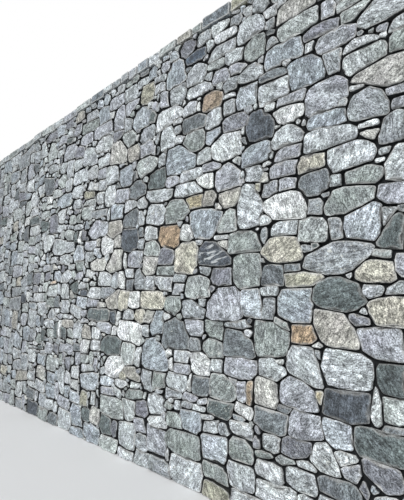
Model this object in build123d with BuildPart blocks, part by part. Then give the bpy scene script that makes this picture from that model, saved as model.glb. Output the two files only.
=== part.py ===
"""Rubble stone retaining wall: a plumb front face, a battered back and a course of coping stones.

+X runs along the wall, +Y into the retained bank and +Z up. The origin is the middle of the base, on the ground.
All sizes are in millimetres.
"""

import os
from math import atan, cos, sin

from build123d import *

# The wall as a whole
wall_length = 7500
wall_height = 4200
base_thickness = 1500
top_thickness = 600

# The masonry below the coping
facing_depth = 200
raking_depth = 50
lift_count = 8
bed_joint = 14

# Each bed steps up or down by up to step_rise where one run of level stones ends
step_run = 850
step_rise = 45
step_shift = 0.382

# The coping course
coping_height = 130
coping_bed_joint = 12
coping_perpend = 10
coping_arris = 12
coping_fall = 10
shortest_coping = 130

# Stone by stone from the left end of the wall
coping_lengths = (
    (340, 290, 380, 310, 350, 270, 390)
    + (290, 400, 370, 300, 190, 160, 150)
    + (160, 190, 180, 260, 200, 140, 340)
    + (220, 310, 280, 400, 380)
)

masonry_height = wall_height - coping_height - coping_bed_joint
lift_height = masonry_height / lift_count
batter = (base_thickness - top_thickness) / masonry_height
front_y = -base_thickness / 2
back_y = base_thickness / 2
back_top_y = front_y + top_thickness
overrun = step_run


def masonry_block(inset):
    """The masonry below the coping, with its four faces taken in by inset."""
    back_inset = inset / cos(atan(batter))
    with BuildPart() as block:
        with BuildSketch(Plane.YZ):
            with BuildLine():
                Polyline(
                    (front_y + inset, 0),
                    (back_y - back_inset, 0),
                    (back_top_y - back_inset, masonry_height),
                    (front_y + inset, masonry_height),
                    close=True,
                )
            make_face()
        extrude(amount=wall_length / 2 - inset, both=True)
    return block.part


def bed_line(bed, shift):
    """Level runs with a small step between them. Moved up by shift, the risers move sideways as much."""
    end = wall_length / 2 + overrun
    if bed == 0:
        return [(-end, -overrun), (end, -overrun)]
    if bed == lift_count:
        return [(-end, masonry_height + overrun), (end, masonry_height + overrun)]
    level = bed * lift_height
    points = [(-end, level + shift)]
    x = -end + step_run * (bed * step_shift % 1)
    run = 0
    while x < end:
        z_before = points[-1][1]
        z_after = level + shift + step_rise * sin(1.9 * run + 2.7 * bed)
        riser_x = x - shift if z_after > z_before else x + shift
        points += [(riser_x, z_before), (riser_x, z_after)]
        x += step_run
        run += 1
    points.append((end, points[-1][1]))
    return points


def lift_band(lift, joint):
    """The space between a lift's two beds, through the whole wall, less half a joint at each bed."""
    lower = bed_line(lift, joint / 2)
    upper = bed_line(lift + 1, -joint / 2)
    with BuildPart() as band:
        with BuildSketch(Plane.XZ):
            with BuildLine():
                Polyline(*lower, *reversed(upper), close=True)
            make_face()
        extrude(amount=base_thickness, both=True)
    return band.part


def coping_spans():
    """Start and end of each coping stone, from the left end of the wall to the right."""
    spans = []
    start = -wall_length / 2
    index = 0
    while start < wall_length / 2:
        end = start + coping_lengths[index % len(coping_lengths)]
        if wall_length / 2 - end < shortest_coping + coping_perpend:
            end = wall_length / 2
        spans.append((start, end))
        start = end + coping_perpend
        index += 1
    return spans


pieces = []

# The mortared rubble between the two faces
hearting = masonry_block(facing_depth)
hearting.label = "hearting"
pieces.append(hearting)

# The face stones go round the hearting in lifts, and their heads stand proud of the raked joints
outer_block = masonry_block(0)
raked_block = masonry_block(raking_depth)
for lift in range(lift_count):
    with BuildPart() as ring:
        add(outer_block)
        add(lift_band(lift, bed_joint), mode=Mode.INTERSECT)
        add(raked_block, mode=Mode.SUBTRACT)
    with BuildPart() as facing:
        add(raked_block)
        add(lift_band(lift, 0), mode=Mode.INTERSECT)
        add(ring.part)
        add(hearting, mode=Mode.SUBTRACT)
    facing.part.label = f"facing_lift_{lift + 1}"
    pieces.append(facing.part)

# Bed and perpend mortar of the coping, raked back like the joints below
coping_base = masonry_height + coping_bed_joint
spans = coping_spans()
with BuildPart() as coping_mortar:
    with BuildSketch(Plane.XY.offset(masonry_height)):
        with Locations((0, (front_y + back_top_y) / 2)):
            Rectangle(wall_length - 2 * raking_depth, top_thickness - 2 * raking_depth)
    extrude(amount=coping_bed_joint)
    perpends = [(span[1] + coping_perpend / 2, (front_y + back_top_y) / 2) for span in spans[:-1]]
    with BuildSketch(Plane.XY.offset(coping_base)):
        with Locations(*perpends):
            Rectangle(coping_perpend, top_thickness - 2 * raking_depth)
    extrude(amount=coping_height - raking_depth)
coping_mortar.part.label = "coping_mortar"
pieces.append(coping_mortar.part)

# One stone spans the top of the wall from face to face, and its top falls a little to both sides
for number, (start, end) in enumerate(spans, 1):
    with BuildPart() as stone:
        with BuildSketch(Plane.YZ.offset(start)):
            with BuildLine():
                Polyline(
                    (front_y, coping_base),
                    (back_top_y, coping_base),
                    (back_top_y, wall_height - coping_fall),
                    ((front_y + back_top_y) / 2, wall_height),
                    (front_y, wall_height - coping_fall),
                    close=True,
                )
            make_face()
        extrude(amount=end - start)
        chamfer(stone.faces().sort_by(Axis.Y)[0].edges(), length=coping_arris)
        chamfer(stone.faces().sort_by(Axis.Y)[-1].edges(), length=coping_arris)
    stone.part.label = f"coping_stone_{number:02d}"
    pieces.append(stone.part)

os.makedirs("parts", exist_ok=True)
for piece in pieces:
    export_step(piece, f"parts/{piece.label}.step")
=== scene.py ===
# Stone retaining wall: rubble faces, corner stones and a coping course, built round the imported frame.
# Units are metres. +X runs along the wall, the photographed face looks towards -Y, +Z is up.
import math
import random

import bpy
import numpy as np
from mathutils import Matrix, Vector
from mathutils.geometry import delaunay_2d_cdt


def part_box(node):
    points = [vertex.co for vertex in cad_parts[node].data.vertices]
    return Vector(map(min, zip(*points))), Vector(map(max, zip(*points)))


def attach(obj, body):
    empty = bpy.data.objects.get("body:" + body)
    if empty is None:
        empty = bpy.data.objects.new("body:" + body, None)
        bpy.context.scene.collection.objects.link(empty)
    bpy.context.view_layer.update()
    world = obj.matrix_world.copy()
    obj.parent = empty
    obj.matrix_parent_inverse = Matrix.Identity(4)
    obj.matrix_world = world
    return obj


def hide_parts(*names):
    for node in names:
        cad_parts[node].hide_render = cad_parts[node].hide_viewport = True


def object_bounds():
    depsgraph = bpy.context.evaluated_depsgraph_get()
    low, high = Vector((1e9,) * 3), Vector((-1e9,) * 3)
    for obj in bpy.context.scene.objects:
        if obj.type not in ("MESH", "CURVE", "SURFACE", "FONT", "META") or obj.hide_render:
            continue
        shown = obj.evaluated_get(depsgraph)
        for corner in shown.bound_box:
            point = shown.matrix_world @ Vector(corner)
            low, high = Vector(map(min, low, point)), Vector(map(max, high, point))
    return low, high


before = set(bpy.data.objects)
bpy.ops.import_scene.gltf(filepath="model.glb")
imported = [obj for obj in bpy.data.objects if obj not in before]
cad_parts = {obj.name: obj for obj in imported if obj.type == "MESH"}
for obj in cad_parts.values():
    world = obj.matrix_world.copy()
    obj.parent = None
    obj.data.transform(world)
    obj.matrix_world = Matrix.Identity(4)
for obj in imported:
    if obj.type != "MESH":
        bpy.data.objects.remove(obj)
cadLow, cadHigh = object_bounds()
print("frame loaded:", len(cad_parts), "nodes")

# Camera
camera = {
    "place": (4.25, -3.2, 1.55),  # at eye height, before the right half of the wall
    "along": 44.8274,  # degrees that the view turns away from the wall's own line
    "up": 7.4556,  # degrees above level
    "focal": 29.16,  # mm, for a frame 36 mm on its long side
}


def addCamera():
    turn = math.radians(camera["along"])
    rise = math.radians(camera["up"])
    look = Vector((-math.cos(turn) * math.cos(rise), math.sin(turn) * math.cos(rise), math.sin(rise)))
    data = bpy.data.cameras.new("wallCamera")
    data.lens = camera["focal"]
    data.sensor_width = 36
    data.sensor_fit = "AUTO"
    data.clip_end = 200
    eye = bpy.data.objects.new("wallCamera", data)
    eye.location = camera["place"]
    eye.rotation_euler = look.to_track_quat("-Z", "Y").to_euler()
    bpy.context.collection.objects.link(eye)
    bpy.context.scene.camera = eye


addCamera()


# Stones whose shape and place are copied one by one: tone, then the corners of the face as x, z pairs, in
# centimetres from the middle of the wall's foot.
laidStones = [
    ("light", 236, 394, 248, 391, 252, 393, 248, 402, 236, 403),
    ("beigePale", 258, 371, 291, 371, 293, 386, 262, 387),
    ("pale", 248, 382, 252, 380, 258, 383, 261, 389, 255, 390, 248, 388),
    ("mid", 261, 384, 266, 383, 270, 387, 262, 390),
    ("mid", 250, 371, 257, 371, 257, 379, 250, 379),
    ("greenPale", 262, 355, 294, 354, 296, 361, 295, 367, 262, 368, 257, 364),
    ("lilac", 297, 355, 307, 354, 308, 362, 304, 366, 297, 367),
    ("mid", 248, 356, 261, 356, 257, 364, 250, 366),
    ("dark", 249, 365, 256, 365, 256, 370, 250, 370),
    ("greenPale", 309, 354, 322, 354, 327, 357, 318, 362, 309, 360),
    ("blue", 247, 337, 280, 337, 282, 341, 278, 353, 255, 355, 249, 353, 247, 344),
    ("lilacDark", 282, 345, 309, 344, 309, 350, 303, 353, 285, 353),
    ("greenPale", 311, 344, 331, 344, 330, 350, 325, 352, 313, 352),
    ("pale", 284, 335, 289, 335, 290, 341, 287, 344, 284, 343),
    ("lilac", 292, 331, 299, 329, 318, 331, 320, 334, 320, 341, 296, 343, 291, 338),
    ("light", 323, 335, 340, 331, 353, 335, 353, 345, 340, 348, 325, 346),
    ("light", 342, 323, 352, 323, 352, 330, 344, 329),
    ("pale", 311, 323, 333, 321, 336, 324, 326, 328, 317, 329),
    ("dark", 242, 330, 255, 327, 266, 329, 266, 334, 255, 335, 243, 335),
    ("pale", 263, 335, 270, 335, 270, 337, 263, 337),
    ("blue", 269, 312, 298, 312, 297, 320, 289, 333, 271, 335, 268, 332),
    ("mid", 299, 313, 309, 312, 309, 328, 298, 328),
    ("light", 240, 311, 268, 312, 268, 327, 257, 325, 240, 327),
    ("greenPale", 311, 312, 316, 306, 339, 309, 340, 315, 335, 321, 315, 321, 311, 318),
    ("green", 342, 310, 350, 309, 350, 320, 343, 321),
    ("pale", 247, 304, 254, 303, 255, 308, 249, 310),
    ("lilac", 257, 303, 278, 302, 281, 304, 281, 310, 259, 310),
    ("lilac", 282, 287, 306, 287, 314, 293, 314, 300, 305, 310, 290, 310, 282, 303),
    ("beigePale", 315, 300, 325, 297, 340, 288, 350, 288, 350, 306, 340, 307, 322, 305),
    ("slate", 228, 289, 230, 285, 253, 282, 255, 290, 249, 301, 241, 308, 234, 309, 229, 297),
    ("white", 252, 301, 258, 290, 262, 288, 277, 288, 280, 294, 280, 299, 268, 302, 255, 302),
    ("pale", 314, 292, 320, 292, 328, 295, 322, 296, 315, 297),
    ("pale", 307, 287, 311, 287, 311, 291, 307, 292),
    ("mid", 312, 280, 315, 274, 321, 271, 338, 271, 339, 276, 335, 287, 328, 292, 316, 293),
    ("lilac", 338, 282, 350, 281, 350, 287, 338, 287),
    ("lilac", 341, 272, 349, 272, 349, 279, 341, 280),
    ("pale", 255, 286, 260, 286, 260, 288, 255, 289),
    ("light", 252, 274, 256, 272, 272, 271, 278, 272, 280, 280, 270, 286, 258, 286, 253, 281),
    ("pale", 274, 284, 278, 283, 278, 288, 275, 288),
    ("pale", 279, 279, 281, 279, 281, 286, 279, 286),
    ("blue", 282, 278, 290, 276, 311, 274, 311, 284, 304, 287, 286, 286),
    ("light", 278, 262, 281, 260, 318, 261, 319, 269, 310, 273, 290, 275, 280, 275),
    ("lilac", 253, 263, 257, 260, 276, 260, 278, 265, 276, 270, 257, 270),
    ("pale", 243, 259, 251, 259, 250, 263, 245, 264),
    ("pale", 320, 266, 332, 266, 333, 269, 320, 270),
    ("beigePale", 320, 263, 330, 257, 332, 263, 330, 264, 321, 264),
    ("mid", 332, 252, 348, 251, 348, 271, 336, 270, 333, 262),
    ("lilac", 248, 249, 272, 248, 273, 257, 270, 259, 249, 259),
    ("pale", 245, 248, 247, 248, 247, 257, 245, 257),
    ("cream", 275, 248, 293, 248, 294, 258, 276, 259),
    ("light", 296, 259, 320, 259, 330, 251, 330, 246, 312, 242, 300, 242, 296, 248),
    ("mid", 331, 246, 337, 247, 339, 249, 333, 251),
    ("pale", 330, 241, 335, 241, 336, 244, 330, 244),
    ("light", 334, 230, 347, 228, 347, 250, 340, 249, 336, 243),
    ("mid", 241, 237, 248, 235, 255, 238, 256, 246, 243, 247),
    ("lilac", 257, 238, 271, 237, 272, 244, 269, 247, 257, 246),
    ("dark", 273, 241, 278, 233, 284, 229, 296, 230, 299, 236, 298, 246, 284, 247, 275, 244),
    ("mid", 299, 231, 307, 232, 307, 240, 299, 240),
    ("green", 309, 232, 325, 230, 333, 232, 332, 240, 322, 241, 309, 240),
    ("lilac", 330, 218, 335, 215, 345, 214, 345, 225, 332, 226),
    ("white", 244, 229, 252, 216, 278, 215, 279, 220, 275, 232, 268, 236, 252, 236, 246, 232),
    ("mid", 281, 216, 291, 215, 293, 225, 289, 227, 282, 226),
    ("dark", 293, 225, 298, 225, 299, 230, 294, 230),
    ("green", 293, 219, 294, 213, 308, 213, 326, 221, 328, 224, 322, 228, 306, 230, 298, 229),
    ("light", 240, 215, 250, 215, 245, 221, 240, 222),
    ("light", 250, 205, 270, 204, 272, 206, 272, 214, 251, 214),
    ("greenPale", 273, 199, 280, 197, 294, 194, 295, 200, 293, 213, 285, 214, 274, 212),
    ("mid", 297, 198, 305, 197, 303, 212, 296, 212),
    ("blueWhite", 307, 198, 312, 195, 325, 193, 329, 197, 330, 216, 326, 217, 307, 210),
    ("cream", 241, 193, 246, 187, 253, 184, 270, 184, 274, 188, 268, 202, 256, 204, 246, 201),
    ("mid", 276, 190, 283, 190, 284, 193, 277, 195),
    ("pale", 285, 192, 294, 193, 294, 195, 285, 194),
    ("mid", 274, 180, 285, 175, 300, 174, 310, 176, 320, 182, 325, 190, 318, 194, 305, 195, 290,
     192, 278, 187),
    ("greenDark", 326, 191, 330, 187, 342, 186, 343, 205, 341, 209, 337, 207, 332, 199),
    ("light", 331, 202, 333, 202, 340, 211, 331, 212),
    ("green", 323, 183, 334, 182, 335, 185, 327, 187),
    ("dark", 240, 169, 259, 168, 259, 182, 242, 183),
    ("dark", 260, 177, 273, 178, 273, 182, 260, 183),
    ("olive", 260, 167, 280, 167, 289, 171, 289, 174, 280, 176, 260, 176),
    ("white", 271, 166, 282, 165, 282, 168, 272, 168),
    ("cream", 312, 171, 320, 168, 334, 167, 337, 172, 334, 179, 326, 182, 318, 181),
    ("lilac", 338, 172, 343, 171, 343, 184, 337, 183),
    ("greenDark", 281, 157, 290, 152, 300, 150, 314, 151, 317, 156, 314, 164, 306, 170, 298, 172, 285, 167),
    ("blue", 253, 149, 256, 144, 270, 141, 279, 143, 280, 165, 256, 165, 253, 158),
    ("light", 240, 161, 253, 161, 253, 167, 240, 167),
    ("mid", 240, 143, 250, 143, 251, 158, 240, 159),
    ("light", 318, 160, 329, 160, 329, 164, 319, 165),
    ("cream", 320, 149, 325, 142, 341, 141, 341, 159, 335, 159, 326, 157, 321, 153),
    ("light", 332, 161, 342, 160, 342, 167, 336, 167),
    ("pale", 314, 148, 319, 147, 319, 151, 315, 151),
    ("lilacDark", 307, 146, 310, 141, 319, 141, 320, 147, 308, 148),
    ("beige", 282, 142, 288, 130, 300, 126, 311, 127, 312, 131, 305, 145, 302, 148, 290, 150, 282, 149),
    ("lilac", 311, 137, 318, 125, 330, 122, 338, 122, 339, 137, 337, 140, 315, 140),
    ("rust", 264, 128, 282, 127, 282, 132, 280, 139, 265, 140),
    ("green", 252, 145, 262, 141, 263, 136, 258, 138, 252, 142),
    ("green", 231, 137, 233, 124, 236, 117, 255, 117, 262, 125, 262, 133, 252, 139, 240, 142, 232, 142),
    ("white", 281, 126, 287, 125, 287, 128, 282, 128),
    ("light", 259, 111, 262, 106, 272, 103, 282, 100, 288, 101, 287, 107, 280, 125, 264, 127, 261, 120),
    ("mid", 283, 120, 286, 117, 286, 124, 283, 124),
    ("light", 286, 113, 289, 104, 294, 102, 310, 101, 319, 104, 321, 110, 321, 118, 315, 122, 303,
     125, 288, 125),
    ("greenDark", 322, 107, 328, 102, 338, 102, 338, 119, 330, 120, 323, 118),
    ("pale", 317, 87, 321, 83, 324, 84, 324, 97, 322, 107, 320, 105, 319, 97),
    ("slate", 287, 92, 287, 84, 300, 83, 316, 85, 317, 93, 319, 100, 300, 100, 289, 100),
    ("yellow", 283, 89, 286, 89, 287, 97, 283, 98),
    ("lilac", 253, 90, 255, 84, 282, 83, 282, 90, 278, 99, 270, 103, 261, 104, 255, 98),
    ("light", 234, 108, 237, 102, 252, 101, 259, 107, 258, 110, 250, 114, 240, 115, 235, 112),
    ("white", 252, 114, 257, 112, 258, 115, 253, 115),
    ("beigePale", 231, 82, 249, 80, 251, 90, 252, 97, 248, 100, 231, 100),
    ("dark", 251, 80, 260, 79, 262, 83, 252, 83),
    ("dark", 231, 68, 240, 64, 257, 63, 259, 72, 260, 78, 240, 79, 231, 79),
    ("lilac", 259, 68, 262, 64, 270, 64, 283, 66, 285, 70, 283, 82, 264, 83, 261, 77),
    ("blueWhite", 285, 78, 288, 70, 290, 66, 304, 65, 305, 72, 305, 78, 300, 82, 287, 82),
    ("greenDark", 306, 70, 310, 66, 325, 63, 336, 64, 337, 79, 316, 80, 308, 79),
    ("greenPale", 325, 87, 337, 87, 338, 100, 326, 100),
    ("dark", 324, 82, 337, 82, 337, 85, 325, 84),
    ("light", 240, 51, 248, 50, 252, 53, 253, 60, 250, 62, 240, 62),
    ("lilacDark", 254, 54, 258, 52, 266, 51, 275, 58, 276, 63, 258, 64, 255, 62),
    ("pale", 278, 52, 283, 48, 296, 49, 297, 52, 291, 62, 289, 65, 279, 64),
    ("pale", 293, 62, 298, 56, 307, 60, 305, 63, 297, 64),
    ("lilac", 298, 53, 300, 50, 308, 48, 309, 58, 306, 59),
    ("lilacDark", 311, 58, 318, 51, 334, 49, 335, 55, 330, 62, 314, 63),
    ("lilac", 118, 391, 130, 391, 130, 400, 118, 402),
    ("blueWhite", 131, 396, 142, 395, 144, 399, 143, 404, 131, 404),
    ("lilacDark", 146, 397, 152, 393, 166, 394, 168, 399, 167, 404, 144, 404),
    ("light", 168, 397, 173, 394, 187, 395, 189, 399, 188, 404, 168, 404),
    ("pale", 189, 396, 198, 395, 206, 396, 209, 400, 208, 404, 189, 404),
    ("mid", 210, 395, 220, 393, 226, 394, 224, 401, 212, 402),
    ("pale", 227, 395, 235, 395, 235, 402, 227, 402),
    ("pale", 193, 389, 198, 385, 211, 384, 218, 387, 217, 391, 210, 395, 196, 395, 193, 392),
    ("light", 182, 384, 186, 383, 191, 387, 191, 392, 187, 394, 182, 392),
    ("light", 218, 376, 222, 372, 235, 373, 247, 377, 247, 385, 241, 390, 230, 391, 222, 389),
    ("light", 184, 374, 188, 372, 214, 373, 217, 376, 216, 381, 210, 384, 190, 384, 187, 380),
    ("slateBlue", 153, 388, 155, 382, 166, 381, 178, 379, 182, 383, 182, 391, 168, 393, 157, 391),
    ("blue", 124, 372, 130, 369, 147, 368, 154, 371, 154, 379, 152, 390, 145, 395, 132, 395, 128,
     389, 124, 381),
    ("lilac", 116, 354, 128, 351, 129, 363, 122, 369, 116, 369),
    ("light", 130, 356, 133, 350, 148, 350, 154, 355, 154, 362, 150, 366, 133, 368, 131, 364),
    ("light", 155, 361, 176, 358, 180, 366, 181, 375, 170, 379, 162, 377, 156, 370),
    ("light", 154, 349, 158, 346, 186, 344, 188, 351, 181, 355, 176, 357, 160, 359, 157, 356),
    ("greenPale", 181, 367, 186, 363, 202, 362, 203, 368, 200, 371, 186, 371),
    ("mid", 179, 359, 189, 355, 190, 361, 182, 364),
    ("lilac", 190, 350, 193, 346, 206, 347, 209, 351, 207, 358, 202, 361, 191, 361),
    ("light", 206, 362, 210, 359, 223, 358, 224, 369, 206, 370),
    ("lilac", 211, 350, 224, 348, 228, 352, 224, 356, 212, 357),
    ("green", 225, 358, 230, 354, 246, 355, 246, 370, 240, 374, 230, 372, 226, 364),
    ("pale", 108, 330, 130, 331, 150, 336, 151, 342, 140, 347, 122, 349, 110, 349),
    ("pale", 151, 342, 155, 342, 154, 348, 152, 348),
    ("light", 151, 333, 156, 331, 169, 331, 169, 342, 164, 344, 157, 345, 152, 341),
    ("white", 170, 331, 174, 331, 175, 338, 172, 339),
    ("pale", 170, 341, 175, 341, 175, 343, 171, 343),
    ("salmon", 175, 335, 177, 329, 185, 326, 195, 326, 201, 331, 202, 337, 197, 343, 187, 346, 178, 345),
    ("pale", 190, 345, 199, 342, 200, 346, 191, 347),
    ("mid", 202, 336, 207, 334, 217, 334, 219, 340, 219, 346, 208, 347, 203, 343),
    ("pale", 202, 330, 215, 330, 216, 333, 203, 334),
    ("light", 220, 338, 225, 335, 246, 336, 245, 342, 238, 348, 231, 350, 226, 347),
    ("light", 202, 316, 215, 315, 215, 327, 204, 328),
    ("blueWhite", 217, 316, 222, 314, 237, 314, 238, 331, 233, 333, 220, 334),
    ("pale", 228, 311, 236, 310, 239, 313, 229, 313),
    ("light", 118, 307, 130, 306, 137, 307, 139, 314, 136, 325, 130, 330, 120, 330),
    ("pale", 137, 328, 147, 328, 147, 331, 138, 331),
    ("mid", 139, 318, 146, 317, 147, 324, 140, 326),
    ("dark", 148, 318, 152, 315, 160, 314, 179, 315, 180, 323, 172, 329, 155, 330, 149, 325),
    ("light", 180, 310, 186, 307, 196, 308, 200, 313, 199, 324, 186, 325, 181, 319),
    ("pale", 138, 308, 152, 308, 154, 312, 148, 314, 139, 314),
    ("green", 151, 305, 160, 293, 170, 293, 180, 295, 180, 312, 160, 313, 153, 310),
    ("blue", 126, 279, 160, 277, 166, 282, 166, 291, 157, 295, 148, 304, 140, 306, 127, 305, 125, 290),
    ("light", 169, 282, 176, 279, 187, 279, 187, 291, 181, 294, 172, 293),
    ("blue", 181, 297, 187, 294, 195, 297, 199, 301, 199, 306, 183, 307),
    ("pale", 189, 280, 200, 276, 220, 277, 222, 285, 222, 297, 212, 296, 206, 297, 197, 298, 191, 293),
    ("lilacDark", 201, 301, 212, 299, 226, 299, 228, 308, 226, 312, 206, 313, 201, 310),
    ("pale", 223, 291, 226, 291, 226, 298, 223, 298),
    ("dark", 223, 285, 227, 284, 227, 290, 223, 290),
    ("lilac", 125, 268, 128, 266, 140, 266, 144, 273, 141, 277, 128, 277),
    ("light", 146, 268, 150, 266, 165, 267, 177, 271, 176, 275, 150, 277, 147, 272),
    ("lilac", 177, 272, 185, 269, 196, 269, 197, 274, 190, 277, 178, 278),
    ("white", 168, 266, 175, 257, 189, 255, 190, 267, 180, 269, 171, 268),
    ("lilac", 191, 252, 200, 248, 212, 249, 219, 253, 219, 261, 214, 268, 205, 271, 192, 268, 190, 260),
    ("light", 93, 262, 98, 259, 122, 254, 136, 257, 137, 264, 118, 267, 95, 269),
    ("light", 138, 257, 145, 254, 166, 253, 175, 253, 176, 257, 168, 264, 160, 266, 141, 266),
    ("yellow", 152, 250, 158, 242, 165, 240, 175, 240, 176, 251, 165, 252, 153, 252),
    ("beige", 177, 240, 190, 239, 193, 244, 191, 252, 178, 253),
    ("beige", 196, 243, 203, 235, 213, 234, 218, 239, 220, 247, 205, 249, 198, 248),
    ("green", 124, 235, 125, 231, 150, 231, 158, 238, 157, 246, 152, 250, 146, 254, 135, 254, 128,
     249, 125, 243),
    ("blue", 162, 229, 167, 212, 188, 210, 194, 218, 200, 230, 196, 233, 180, 237, 166, 239, 158, 236),
    ("greenPale", 193, 217, 195, 213, 213, 212, 215, 221, 214, 230, 206, 232, 200, 229),
    ("light", 216, 219, 221, 214, 230, 213, 238, 216, 241, 225, 239, 236, 232, 247, 225, 249, 220,
     241, 216, 230),
    ("blue", 221, 268, 224, 265, 246, 264, 249, 270, 250, 278, 246, 282, 232, 281, 223, 275),
    ("light", 225, 253, 230, 251, 238, 250, 243, 253, 243, 261, 238, 263, 226, 262),
    ("pale", 213, 273, 219, 268, 221, 273, 217, 275),
    ("olive", 236, 243, 240, 241, 241, 247, 237, 247),
    ("rust", 114, 218, 118, 211, 130, 208, 140, 207, 146, 213, 147, 220, 144, 227, 130, 228, 118, 229),
    ("white", 147, 213, 158, 211, 164, 213, 162, 220, 158, 226, 152, 227, 149, 222),
    ("lilacDark", 118, 192, 135, 191, 137, 200, 134, 206, 126, 208, 118, 207),
    ("cream", 139, 186, 142, 183, 162, 181, 169, 189, 165, 200, 168, 209, 150, 210, 141, 205, 139, 195),
    ("slateVeined", 170, 190, 176, 187, 203, 185, 208, 188, 207, 193, 196, 202, 186, 208, 178, 208, 170, 199),
    ("pale", 190, 211, 205, 207, 206, 212, 192, 212),
    ("beigePale", 196, 205, 205, 198, 205, 206, 199, 207),
    ("green", 207, 196, 238, 195, 240, 200, 236, 208, 230, 211, 208, 211),
    ("mid", 171, 186, 176, 180, 185, 179, 187, 184, 177, 186),
    ("lilacDark", 187, 171, 209, 170, 209, 183, 188, 184),
    ("green", 211, 172, 216, 168, 237, 168, 238, 177, 236, 193, 215, 194, 211, 190),
    ("green", 112, 182, 137, 181, 138, 190, 113, 190),
    ("mid", 139, 175, 154, 174, 155, 180, 140, 182),
    ("light", 138, 165, 152, 165, 153, 172, 140, 173),
    ("greenPale", 155, 160, 183, 160, 184, 172, 178, 177, 160, 178, 155, 172),
    ("lilac", 181, 146, 190, 141, 215, 140, 220, 145, 219, 158, 212, 168, 204, 169, 192, 164, 184, 157),
    ("blueWhite", 221, 149, 226, 145, 238, 143, 239, 160, 236, 166, 222, 165, 219, 157),
    ("green", 128, 148, 133, 146, 146, 146, 149, 151, 147, 159, 130, 160),
    ("light", 170, 153, 178, 152, 181, 158, 172, 159),
    ("mid", 151, 146, 158, 142, 175, 142, 178, 149, 170, 155, 158, 158, 151, 156),
    ("lilac", 153, 131, 160, 126, 175, 126, 178, 132, 176, 139, 165, 141, 154, 139),
    ("green", 180, 134, 186, 128, 198, 128, 200, 136, 198, 140, 181, 139),
    ("mid", 200, 136, 212, 136, 228, 138, 222, 141, 202, 140),
    ("dark", 201, 114, 212, 113, 230, 115, 230, 124, 222, 131, 214, 134, 202, 134),
    ("dark", 122, 120, 126, 115, 150, 114, 158, 115, 157, 130, 150, 139, 140, 141, 130, 138, 124, 128),
    ("mid", 160, 115, 172, 114, 174, 119, 172, 125, 161, 125),
    ("green", 176, 118, 182, 110, 199, 110, 200, 119, 192, 124, 182, 125),
    ("lilac", 201, 99, 210, 97, 230, 99, 234, 104, 233, 112, 203, 113),
    ("white", 162, 97, 170, 94, 183, 96, 184, 108, 180, 112, 163, 112),
    ("light", 186, 100, 197, 99, 198, 109, 186, 110),
    ("light", 140, 103, 159, 102, 160, 112, 142, 113),
    ("lilac", 139, 94, 158, 93, 160, 101, 140, 101),
    ("white", 130, 107, 137, 107, 137, 112, 131, 113),
    ("white", 134, 93, 137, 93, 137, 105, 135, 105),
    ("light", 129, 84, 133, 79, 152, 77, 157, 83, 156, 91, 132, 92),
    ("white", 159, 80, 163, 80, 163, 93, 159, 93),
    ("dark", 164, 80, 176, 78, 184, 81, 184, 92, 164, 93),
    ("green", 185, 80, 188, 78, 208, 78, 212, 85, 211, 91, 204, 97, 190, 99, 186, 95),
    ("mid", 204, 98, 213, 91, 214, 96, 207, 98),
    ("lilac", 215, 82, 222, 79, 222, 96, 215, 93),
    ("tan", 224, 79, 229, 79, 229, 95, 224, 95),
    ("greenDark", 182, 66, 205, 65, 210, 70, 210, 77, 190, 78, 184, 76),
    ("white", 213, 71, 226, 70, 230, 74, 228, 78, 214, 78),
    ("mid", 127, 70, 140, 71, 148, 72, 149, 77, 130, 78),
    ("lilac", 151, 72, 165, 71, 170, 75, 166, 78, 152, 78),
    ("lilac", 18, 387, 22, 384, 42, 385, 48, 388, 48, 396, 30, 398, 19, 395),
    ("blue", -5, 375, 10, 374, 18, 376, 17, 388, 15, 393, -5, 394),
    ("light", 50, 384, 56, 382, 74, 381, 75, 392, 72, 397, 50, 398),
    ("light", 76, 390, 82, 388, 94, 391, 94, 398, 77, 399),
    ("blue", 96, 390, 109, 391, 110, 402, 96, 402),
    ("olive", 80, 371, 83, 369, 102, 370, 104, 378, 104, 388, 88, 388, 81, 384),
    ("light", 105, 384, 121, 382, 122, 389, 106, 390),
    ("light", 105, 372, 121, 371, 122, 381, 107, 382),
    ("lilac", 50, 379, 55, 367, 60, 364, 70, 368, 78, 372, 78, 379, 70, 381, 55, 381),
    ("lilac", 28, 356, 49, 354, 50, 372, 49, 380, 43, 384, 34, 379, 29, 372),
    ("pale", 20, 374, 27, 373, 28, 379, 21, 380),
    ("lilac", -17, 360, -6, 356, 8, 357, 25, 354, 27, 366, 22, 371, -16, 371),
    ("pale", -12, 340, 10, 337, 24, 340, 26, 350, 20, 356, 4, 357, 0, 350, -12, 347),
    ("lilacDark", 29, 344, 33, 342, 44, 343, 49, 350, 47, 353, 32, 354),
    ("light", 50, 348, 62, 347, 65, 357, 62, 361, 51, 362),
    ("blueWhite", 66, 350, 70, 345, 84, 344, 95, 342, 96, 350, 100, 357, 92, 363, 84, 367, 74, 364, 68, 358),
    ("greenDark", 98, 343, 107, 342, 109, 350, 104, 355, 97, 351),
    ("greenPale", 48, 341, 54, 330, 58, 327, 72, 328, 74, 336, 68, 344, 60, 346, 50, 345),
    ("white", 75, 331, 79, 330, 80, 334, 75, 337),
    ("mid", 81, 328, 86, 325, 103, 327, 107, 335, 104, 340, 90, 341, 84, 338),
    ("beigePale", 22, 317, 28, 315, 42, 312, 55, 313, 56, 326, 48, 337, 42, 339, 28, 340, 24, 330),
    ("light", -4, 319, 0, 318, 20, 319, 21, 328, 18, 332, -4, 331),
    ("beige", 58, 316, 60, 311, 78, 310, 80, 318, 78, 324, 68, 327, 59, 325),
    ("lilac", 82, 311, 90, 309, 103, 310, 105, 318, 101, 324, 84, 322),
    ("lilac", -4, 305, 13, 303, 15, 314, -4, 315),
    ("light", 18, 294, 40, 293, 41, 300, 40, 311, 28, 313, 18, 314),
    ("light", -2, 290, 15, 288, 16, 300, -2, 301),
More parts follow.
